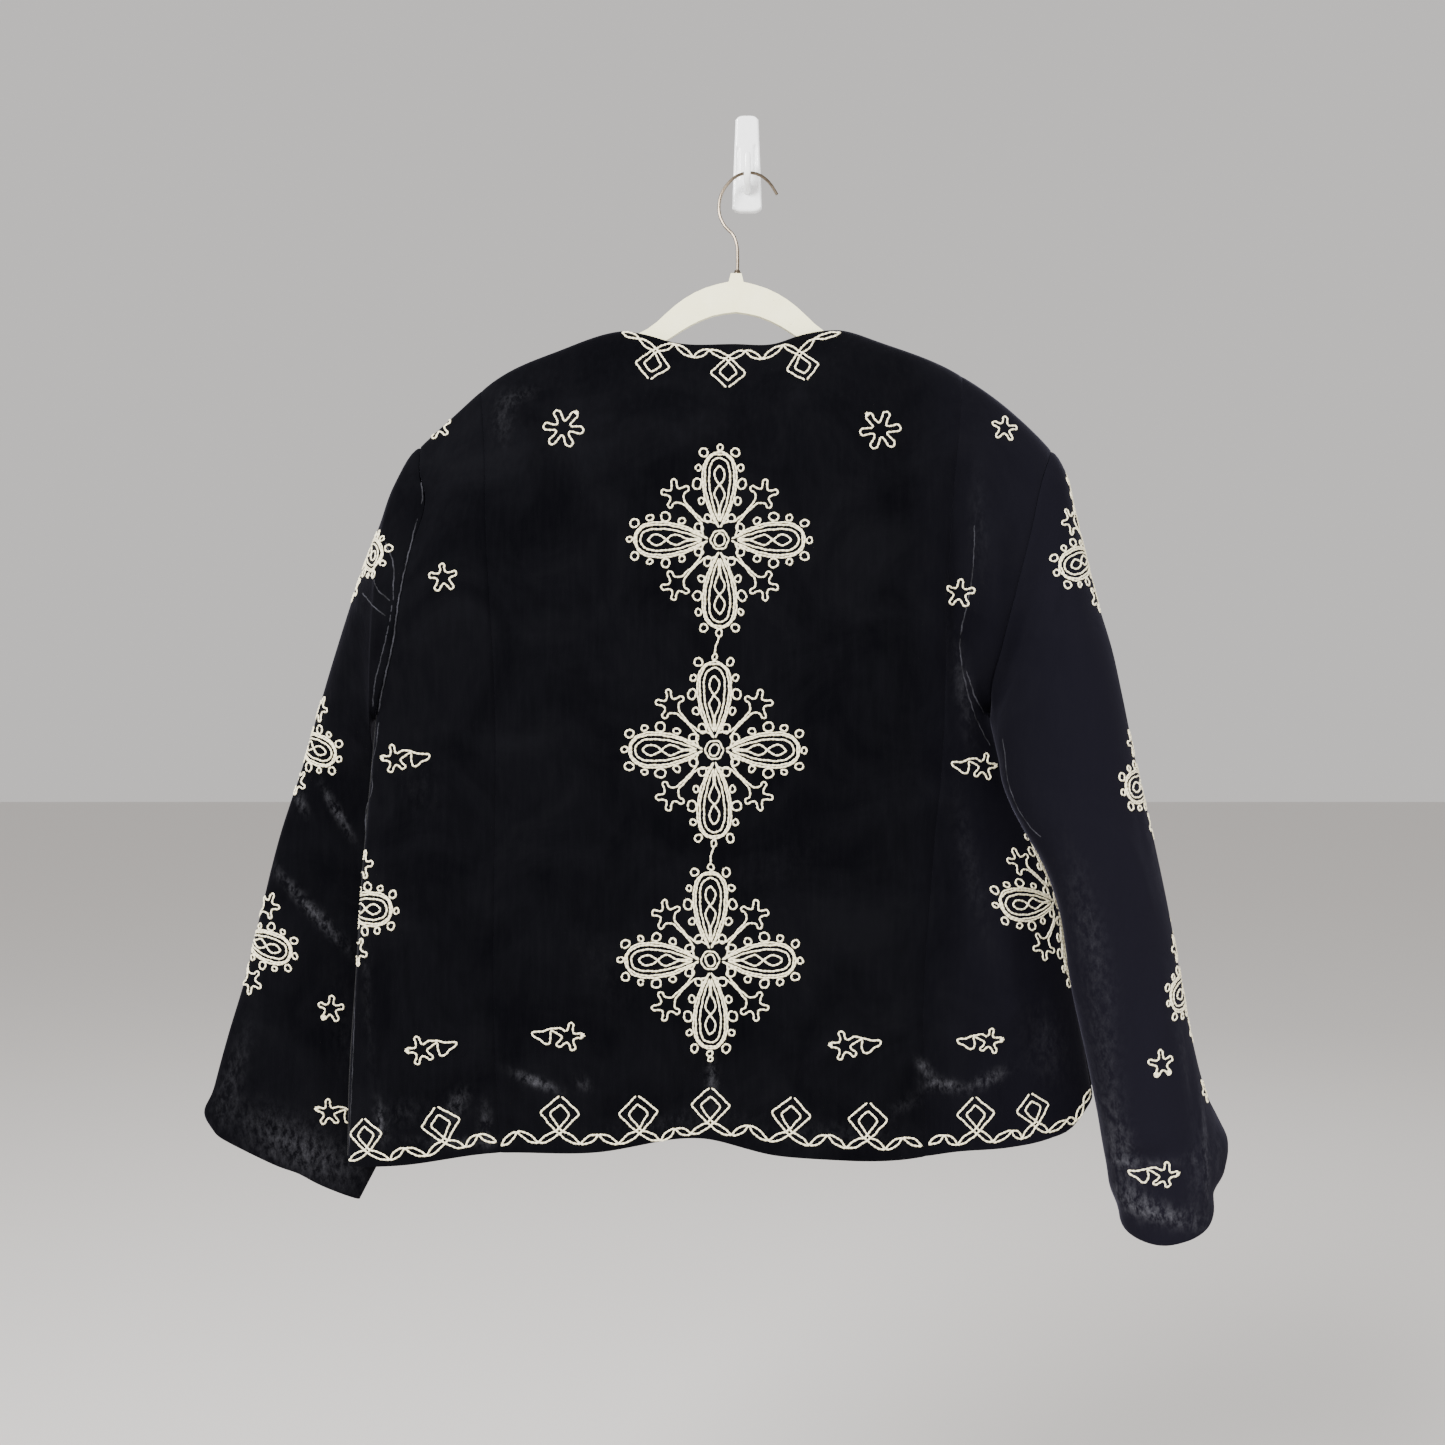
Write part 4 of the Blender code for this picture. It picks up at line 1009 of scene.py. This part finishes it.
# Embroidered borders
# Two lines that cross like a loose rope, with a doubled diamond wherever they loop, along the
# hem and under the neckline. They start afresh at each seam and go on round the fronts.
Turn = namedtuple("Turn", "x z kind size", defaults=("turn", 1))
ROPE_HALF, ROPE_SHARES = 2.3, (0.32, 0.68)
# Right half of a diamond's two lines, from its foot to its tip
OUTER_LINE = [(ROPE_HALF, 0), (14.6, 13.2), (0.9, 25.6)]
INNER_LINE = [(-ROPE_HALF, 0), (0.6, 3.2), (7.6, 12.6), (0.5, 19.2)]
DIAMOND_CORNER, ROPE_CORNER = 2.4, 2.6
HEM_BORDER = [
    table(Turn, (-308, -789, "end"), (-292, -779, "diamond", 0.95), (-274, -785), (-262, -775), (-245, -781),
          (-231, -769, "diamond", 1.05), (-215, -774), (-206, -764), (-192, -770, "end")),
    table(Turn, (-188, -773, "end"), (-176, -762), (-160, -771), (-144, -762, "diamond", 1.05), (-128, -772),
          (-114, -764), (-99, -772), (-83, -762, "diamond", 1.05), (-67, -770), (-56, -761), (-44, -766),
          (-29, -757, "diamond", 1.05), (-13, -766), (0, -758), (15, -770), (31, -763, "diamond", 1.05),
          (46, -773), (60, -764), (74, -774), (90, -766, "diamond", 1.05), (104, -775), (117, -766),
          (132, -773, "end")),
    table(Turn, (137, -772, "end"), (149, -765), (159, -773), (174, -762, "diamond"), (186, -771), (201, -762),
          (209, -769), (220, -758, "diamond", 0.92), (230, -765), (245, -757), (253, -759), (260, -747),
          (268, -738, "end")),
]
NECK_BORDER = table(
    Turn, (-99, -144, "end"), (-85, -150), (-72, -161, "diamond", 0.95), (-57, -155), (-43, -167), (-30, -160),
    (-15, -168, "diamond", 0.95), (-2, -161), (11, -169), (28, -156), (40, -164, "diamond", 0.9), (52, -151),
    (73, -145, "end"),
)
NECK_TURNS, NECK_INSET, NECK_WAVE, NECK_DIAMOND = 10, 5.0, 7.0, 0.9
NECK_FIRST, NECK_SPAN = 6.0, 82.0       # degrees round the front neckline
FRONT_HEMS, HEM_TURNS = [(-262, 4), (24, 304)], 20
BORDER_HIGH, BORDER_LOW = 14.0, 6.0


def rope(turns, way):
    """Two crossing lines through the turns; diamonds stand up (way 1) or hang down (way -1)."""
    lines, paths, sides = [], [[], []], [1, -1]
    before = None
    for number, one in enumerate(turns):
        here = np.array([one.x, one.z], dtype=float)
        if before is not None:
            run = here - before
            normal = np.array([-run[1], run[0]]) / np.hypot(*run)
            for share in ROPE_SHARES:
                for index in (0, 1):
                    paths[index].append(before + run * share + normal * ROPE_HALF * sides[index])
        if one.kind == "diamond":
            follow = np.array([turns[number + 1].x - turns[number - 1].x,
                               turns[number + 1].z - turns[number - 1].z], dtype=float)
            right = follow / np.hypot(*follow)
            up = np.array([-right[1], right[0]]) * way
            for index in (0, 1):
                corners = OUTER_LINE if sides[index] == -way else INNER_LINE
                first = [here + (right * a + up * b) * one.size for a, b in corners]
                second = [here + (up * b - right * a) * one.size for a, b in corners[::-1]]
                if sides[index] == -way:
                    lines.append(cornered(paths[index] + first, DIAMOND_CORNER))
                    paths[index] = second
                else:
                    paths[index] += first + second
        else:
            for index in (0, 1):
                paths[index].append(here)
                sides[index] = -sides[index]
        before = here
    return lines + [cornered(path, ROPE_CORNER) for path in paths]


def border_kind(number, last):
    """Kind of the border's turn with a number: ends, and a diamond at every fourth."""
    return "end" if number in (0, last) else "diamond" if number % 4 == 2 else "turn"


def hem_border(start, end):
    """Turns of the border along the fronts' hem between two places, counted across as on_front does."""
    places = []
    for number in range(HEM_TURNS + 1):
        across = start + (end - start) * number / HEM_TURNS
        hem = height_at(BACK_HEM, -across * MM) / MM + FRONT_HEM_LIFT
        rise = BORDER_HIGH if number % 2 == 0 else BORDER_LOW
        places.append(Turn(across, float(hem) + rise, border_kind(number, HEM_TURNS)))
    return places


def neck_border(neck_point, outward):
    """Turns of the border down the round front neckline, counted across as on_front does."""
    edge_x = FRONT_MIDDLE + outward * FRONT_OPENING / 2
    places = []
    for number in range(NECK_TURNS + 1):
        turn = math.radians(NECK_FIRST + NECK_SPAN * number / NECK_TURNS)
        inset = NECK_INSET + (0.0 if number % 2 == 0 else NECK_WAVE)
        across = edge_x + (neck_point.x - edge_x + outward * inset) * math.cos(turn)
        drop = (neck_point.z - FRONT_NECK_DROP + inset) * math.sin(turn)
        places.append(Turn(-across, neck_point.z - drop, border_kind(number, NECK_TURNS), NECK_DIAMOND))
    return places if outward > 0 else places[::-1]


lines = [line for part in HEM_BORDER for line in rope(part, 1)]
lines += rope(NECK_BORDER, -1)
embroider("borders_on_back", lines, on_back)
lines = [line for start, end in FRONT_HEMS for line in rope(hem_border(start, end), 1)]
lines += rope(neck_border(BACK_NECK[-1], 1), -1) + rope(neck_border(BACK_NECK[0], -1), -1)
embroider("borders_on_fronts", lines, on_front)


# Embroidery round the sides and on the sleeves
# The same medallions and stars, wrapped round the side folds and the sleeves' outer edges.
def on_grid(grid, zero, closed, sign):
    """Place function on a cloth grid: x around from the zero column, z down from the top row."""
    rows, columns = grid.shape[:2]
    down = lengths_along(grid[:, zero])
    middle = columns // 2 if closed else zero
    sheet = grid[:, (zero + np.arange(-middle, middle + 1)) % columns] if closed else grid
    around = np.cumsum(np.linalg.norm(np.diff(sheet, axis=1), axis=2), axis=1)
    around = np.concatenate([np.zeros((rows, 1)), around], axis=1)
    around = (around - around[:, middle:middle + 1]) * sign
    if sign < 0:
        around, sheet = around[:, ::-1], sheet[:, ::-1]

    def place(x, z):
        at = np.clip(np.interp(-z, down, np.arange(rows)), 0.0, rows - 1.001)
        row = at.astype(int)
        part = at - row
        found = []
        for across, first, share in zip(x, row, part):
            upper, lower = [
                np.array([np.interp(across, around[line], sheet[line, :, axis]) for axis in range(3)])
                for line in (first, first + 1)]
            found.append(upper * (1.0 - share) + lower * share)
        return np.array(found)
    return place


def square_rings(grid, down):
    """A sleeve's points again, on rings square to its length."""
    length = np.array(down) / math.hypot(*down)
    reach = grid @ length
    levels = np.arange(reach[0].min(), reach[-1].max(), CLOTH_STEP)
    rings = np.empty((len(levels), grid.shape[1], 3))
    for column in range(grid.shape[1]):
        for axis in range(3):
            rings[:, column, axis] = np.interp(levels, reach[:, column], grid[:, column, axis])
    return rings


FOLD_TOP, FOLD_BOTTOM, FOLD_REACH, FOLD_COLUMNS = -0.44, -0.785, 0.100, 59


def fold_grid(seam, inward):
    """Cloth grid round a side fold, from the front to the back, and the number of its column there."""
    heights = np.arange(FOLD_TOP, FOLD_BOTTOM, -CLOTH_STEP)
    across = np.linspace(-1.0, 1.0, 2 * FOLD_COLUMNS + 1) ** 3 * FOLD_REACH
    rows = []
    for height in heights:
        x = across_at(seam, height) + inward * np.abs(across)
        z = np.full(x.shape, height)
        y = np.where(across < 0, body_surface(x, z, 1), body_surface(x, z, -1))
        rows.append(np.stack([x, y, z], axis=1))
    return np.array(rows), FOLD_COLUMNS


on_left_fold = on_grid(*fold_grid(LEFT_SIDE_SEAM, 1), False, 1)
on_right_fold = on_grid(*fold_grid(RIGHT_SIDE_SEAM, -1), False, -1)
LEFT_SIDE_MEDALLION, RIGHT_SIDE_MEDALLION = table(Motif, (-30, -158, 0, 0.97), (-5, -168, 0, 0.97))
embroider("medallion_on_left_side", set_out([LEFT_SIDE_MEDALLION], medallion), on_left_fold)
embroider("medallion_on_right_side", set_out([RIGHT_SIDE_MEDALLION], medallion), on_right_fold)
LEFT_SLEEVE_RUN, RIGHT_SLEEVE_RUN = (-0.28, 0.0, -0.96), (0.24, -0.06, -0.97)
on_left_sleeve = on_grid(square_rings(left_sleeve, LEFT_SLEEVE_RUN), 0, True, 1)
on_right_sleeve = on_grid(square_rings(right_sleeve, RIGHT_SLEEVE_RUN), 0, True, -1)
LEFT_SLEEVE_MEDALLIONS = table(Motif, (-24, -251, -4, 0.88), (-20, -414, 0, 0.88))
RIGHT_SLEEVE_MEDALLIONS = table(Motif, (11, -89, 11, 0.92), (22, -271, 4, 0.92), (22, -426, 8, 0.92))
lines = turned(medallion((1, 2, 3)), -16, -87, -11, 0.92) + set_out(LEFT_SLEEVE_MEDALLIONS, medallion)
embroider("medallions_on_left_sleeve", lines, on_left_sleeve)
embroider("medallions_on_right_sleeve", set_out(RIGHT_SLEEVE_MEDALLIONS, medallion), on_right_sleeve)
lines = turned(small_star((2,)), 80, -446, 10, 0.9)
lines += set_out([Motif(100, -524, 0, 0.9)], star_and_leaf)
embroider("sprigs_on_left_sleeve", lines, on_left_sleeve)
lines = turned(small_star((2, 3)), -58, -476, -6, 0.9) + turned(small_star(), -10, -510, 20, 0.8)
lines += set_out([Motif(-84, -558, -8, 0.9, True)], star_and_leaf)
embroider("sprigs_on_right_sleeve", lines, on_right_sleeve)


# Painted highlight lines on the velvet
# Along the left armhole and side fold, and along a few creases beside the sleeves and on them, a
# thin low ridge in a lighter grey: painted highlights where these folds catch the light.
HIGHLIGHT_LINE_WIDTH, HIGHLIGHT_LINE_RISE = 1.1 * MM, 0.25 * MM


def highlight_line_material():
    """Velvet in a lighter grey: painted highlight along folds and seams."""
    material, where = new_material("velvet pile with painted highlight")
    share = ranged(material, noise(material, where, 110.0, 4.0), 0.36, 0.66)
    return shaded(material, {"Base Color": mixed(material, share, "#0b0b0f", "#2e2e34"), "Roughness": 0.8,
                             "Specular IOR Level": 0.2})


HIGHLIGHT_LINES_ON_BACK = [
    [(-254, -264), (-252, -275), (-255, -294), (-260, -322), (-266, -357), (-271, -391), (-277, -414),
     (-285, -443)],
    [(-285, -451), (-287, -469), (-291, -485), (-290, -502), (-295, -516), (-296, -540), (-299, -572),
     (-300, -615), (-303.6, -650), (-303.8, -670), (-304, -687), (-305, -718), (-308, -780)],
    [(173, -300), (171, -339), (166, -368), (163, -386), (165, -410), (170, -430), (178, -451), (188, -469)],
    [(168, -411), (175, -431), (184, -444)],
]
HIGHLIGHT_LINES_ON_LEFT_SLEEVE = [
    [(42, -84), (56, -98), (66, -118), (70, -140), (70, -164), (67, -194), (66, -208)],
    [(46, -114), (56, -122), (66, -126)], [(30, -126), (54, -134), (66, -138)],
]
HIGHLIGHT_LINES_ON_RIGHT_SLEEVE = [
    [(-131, -214), (-133, -236), (-133, -252), (-131, -268), (-124, -284), (-117, -293)],
]
highlight_pile = highlight_line_material()
for side, places, surface in (("back", HIGHLIGHT_LINES_ON_BACK, on_back),
                              ("left_sleeve", HIGHLIGHT_LINES_ON_LEFT_SLEEVE, on_left_sleeve),
                              ("right_sleeve", HIGHLIGHT_LINES_ON_RIGHT_SLEEVE, on_right_sleeve)):
    lines = [smooth_line(line) for line in places]
    embroider("painted_highlight_lines_on_" + side, lines, surface, HIGHLIGHT_LINE_WIDTH, HIGHLIGHT_LINE_RISE, highlight_pile)


# Hanger
# Slim moulded plastic with an ivory flock that keeps clothes from sliding, a little worn and
# speckled.
def flocked_material():
    """Short ivory flock on moulded plastic."""
    material, where = new_material("ivory flock on plastic")
    tone = mixed(material, noise(material, where, 60.0, 6.0, 0.7), "#efe8b9", "#fdfad6")
    speck = ranged(material, noise(material, where, 420.0, 2.0), 0.70, 0.76, 0.0, 0.6)
    flock = noise(material, where, 2200.0, 3.0)
    return shaded(material, {
        "Base Color": mixed(material, speck, tone, "#b5ab88"), "Normal": bumped(material, flock, 0.45, 0.2),
        "Roughness": 0.92, "Sheen Weight": 0.35, "Specular IOR Level": 0.2})


def give_material(node, material):
    """A CAD node that stays gets its material in all its slots."""
    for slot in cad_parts[node].material_slots:
        slot.material = material


give_material("hanger", flocked_material())


# Hanger's wire and ferrule
# Bent steel wire, drawn bright, that sits in a small plated ferrule on the hanger's neck.
FERRULE_PLACE = (-8.0, -31.8, -96.4)
FERRULE_RINGS = [(3.1, 0.0), (3.1, 1.0), (2.5, 1.5), (2.5, 2.6), (2.1, 3.2), (1.35, 3.5)]


def wire_material():
    """Drawn steel with faint marks along it."""
    material, where = new_material("drawn steel wire")
    marks = noise(material, where, 300.0, 5.0)
    return shaded(material, {"Base Color": mixed(material, marks, "#5f5449", "#736859"), "Metallic": 1.0,
                             "Roughness": ranged(material, marks, to_low=0.30, to_high=0.38)})


steel = wire_material()
give_material("hanger_wire", steel)
turns = np.linspace(0.0, 2.0 * math.pi, 24, endpoint=False)
rings = [[(radius * math.cos(turn), radius * math.sin(turn), height) for turn in turns]
         for radius, height in FERRULE_RINGS]
corners = (np.array(rings) + np.array(FERRULE_PLACE)) * MM
faces = grid_faces(len(rings), len(turns), True)[:, ::-1]
ferrule = new_object("ferrule", new_mesh("ferrule", corners, faces, steel))
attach(ferrule, "root")


# Wall hook
# Glossy white moulded plastic, stuck to the wall with a pad. Its plate widens a little downwards,
# has two shallow grooves and carries a rounded prong.
PLATE_HALF_HEIGHT, PLATE_TOP_HALF, PLATE_BOTTOM_HALF = 39.0, 9.3, 12.0
PLATE_THICK, PLATE_EDGE, PLATE_ARC, PAD_THICK = 6.0, 2.2, 0.09, 1.2
GROOVE_DEPTH, GROOVE_HALF, GROOVE_RUN_OUT = 1.8, 1.1, 3.0
WALL_GAP, PRONG_ROUND = 0.05, 0.75
Groove = namedtuple("Groove", "x top bottom")
GROOVES = table(Groove, (-7.6, 14.0, -14.0), (6.4, 16.0, -10.0))
Stage = namedtuple("Stage", "y z half_width half_depth")
PRONG = table(
    Stage, (-4.5, -20.5, 3.1, 5.2), (-8.0, -20.0, 2.9, 4.6), (-12.0, -18.6, 2.8, 3.6), (-16.0, -16.2, 2.7, 2.6),
    (-18.9, -12.6, 2.7, 2.1), (-19.8, -8.0, 2.7, 1.95), (-19.85, -3.0, 2.7, 1.9), (-19.85, 1.0, 2.65, 1.9),
    (-19.85, 3.0, 2.3, 1.7), (-19.85, 4.3, 1.5, 1.2), (-19.85, 4.9, 0.5, 0.4),
)


def hook_material():
    """Glossy white plastic, faintly uneven from moulding."""
    material, where = new_material("glossy white moulded plastic")
    uneven, scuffs = noise(material, where, 90.0, 2.0), noise(material, where, 700.0, 4.0)
    return shaded(material, {
        "Base Color": linear("#f7f8f9"), "Roughness": ranged(material, scuffs, to_low=0.10, to_high=0.26),
        "Normal": bumped(material, uneven, 0.08, 1.0), "Coat Weight": 0.5})


def close_together(count):
    """Numbers from -1 to 1 that lie closer together at both ends."""
    return np.sin(np.linspace(-math.pi / 2, math.pi / 2, count))


def add_grid(work, points, closed):
    """A grid of points, in millimetres, with its faces added to the mesh in work."""
    corners = [work.verts.new(point) for point in points.reshape(-1, 3) * MM]
    for quad in grid_faces(*points.shape[:2], closed):
        work.faces.new([corners[index] for index in quad])
    return corners


def hook_plate(work):
    """Plate's front and sides as one closed surface on its pad."""
    across, up = close_together(61)[None, :], close_together(121)[:, None]
    half = PLATE_BOTTOM_HALF + (PLATE_TOP_HALF - PLATE_BOTTOM_HALF) * (up + 1.0) / 2
    x = across * half
    z = up * PLATE_HALF_HEIGHT * (1.0 - PLATE_ARC * across ** 4)
    beside = (1.0 - np.abs(across)) * half
    beyond = (1.0 - np.abs(up)) * PLATE_HALF_HEIGHT
    corner = np.hypot(np.maximum(PLATE_EDGE - beside, 0.0), np.maximum(PLATE_EDGE - beyond, 0.0))
    round_off = PLATE_EDGE * (1.0 - np.sqrt(np.maximum(1.0 - (corner / PLATE_EDGE) ** 2, 0.0)))
    depth = PLATE_THICK - round_off
    for groove in GROOVES:
        length = ease((groove.top - z) / GROOVE_RUN_OUT) * ease((z - groove.bottom) / GROOVE_RUN_OUT)
        depth = depth - GROOVE_DEPTH * length * np.exp(-((x - groove.x) / GROOVE_HALF) ** 2)
    add_grid(work, np.stack([x, -depth, z], axis=-1), False)
    rim = [edge for edge in work.edges if edge.is_boundary]
    for place in (-PAD_THICK * MM, -WALL_GAP * MM):
        pulled = bmesh.ops.extrude_edge_only(work, edges=rim)["geom"]
        for vertex in (one for one in pulled if isinstance(one, bmesh.types.BMVert)):
            vertex.co.y = place
        rim = [edge for edge in pulled if isinstance(edge, bmesh.types.BMEdge) and edge.is_boundary]
    bmesh.ops.contextual_create(work, geom=rim)


def hook_prong(work):
    """Prong that comes out of the plate and turns up, as rounded rings along its length."""
    stages = np.array(PRONG)
    steps = lengths_along(stages[:, :2])
    fine = spline(steps, stages, np.linspace(0.0, steps[-1], 48))
    ahead = unit(np.gradient(fine[:, :2], axis=0))
    turns = np.linspace(0.0, 2.0 * math.pi, 28, endpoint=False)
    round_x, round_y = [np.sign(wave) * np.abs(wave) ** PRONG_ROUND
                        for wave in (np.cos(turns), np.sin(turns))]
    y, z, half_width, half_depth = fine.T[:, :, None]
    run_y, run_z = ahead.T[:, :, None]
    rings = np.stack([half_width * round_x, y + run_z * half_depth * round_y, z - run_y * half_depth * round_y],
                     axis=-1)
    work.faces.new(add_grid(work, rings, True)[-len(turns):])


work = bmesh.new()
hook_plate(work)
hook_prong(work)
bmesh.ops.recalc_face_normals(work, faces=work.faces)
mesh = bpy.data.meshes.new("moulded_wall_hook")
work.to_mesh(mesh)
work.free()
mesh.shade_smooth()
mesh.set_sharp_from_angle(angle=math.radians(40))
mesh.materials.append(hook_material())
hook = new_object("moulded_wall_hook", mesh)
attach(hook, "root")
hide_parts("wall_hook")


# Floor
# Plain and pale, well below the jacket.
FLOOR_DROP, FLOOR_HALF = 1.45, 20.0
corners = [(x * FLOOR_HALF, y * FLOOR_HALF, -FLOOR_DROP) for x, y in ((-1, -1), (1, -1), (1, 1), (-1, 1))]
floor_mesh = bpy.data.meshes.new("floor")
floor_mesh.from_pydata(corners, [], [(0, 1, 2, 3)])
floor_mesh.materials.append(shaded(new_material("pale floor")[0], {"Base Color": linear("#dcd9d6"),
                                                                    "Roughness": 0.9}))
floor = new_object("floor", floor_mesh)


# Light
# Large soft lights in front at both sides and behind, and a pale even surround.
Light = namedtuple("Light", "name x y z size power")
LIGHTS = table(
    Light, ("key", -1.6, -2.4, 1.3, 1.3, 310.0), ("fill", 2.4, -1.6, 0.0, 1.8, 70.0),
    ("rear", 0.6, 2.4, 1.4, 2.0, 30.0),
)
JACKET_MIDDLE = (-0.02, -0.06, -0.45)
for light in LIGHTS:
    data = bpy.data.lights.new(light.name, "AREA")
    data.size = light.size
    data.energy = light.power
    lamp = new_object(light.name, data)
    lamp.location = (light.x, light.y, light.z)
    towards = Vector(JACKET_MIDDLE) - lamp.location
    lamp.rotation_euler = towards.to_track_quat("-Z", "Y").to_euler()
surround = bpy.data.worlds.new("surround")
surround.use_nodes = True
surround.node_tree.nodes["Background"].inputs["Color"].default_value = linear("#e6e3e1")
surround.node_tree.nodes["Background"].inputs["Strength"].default_value = 0.9
bpy.context.scene.world = surround
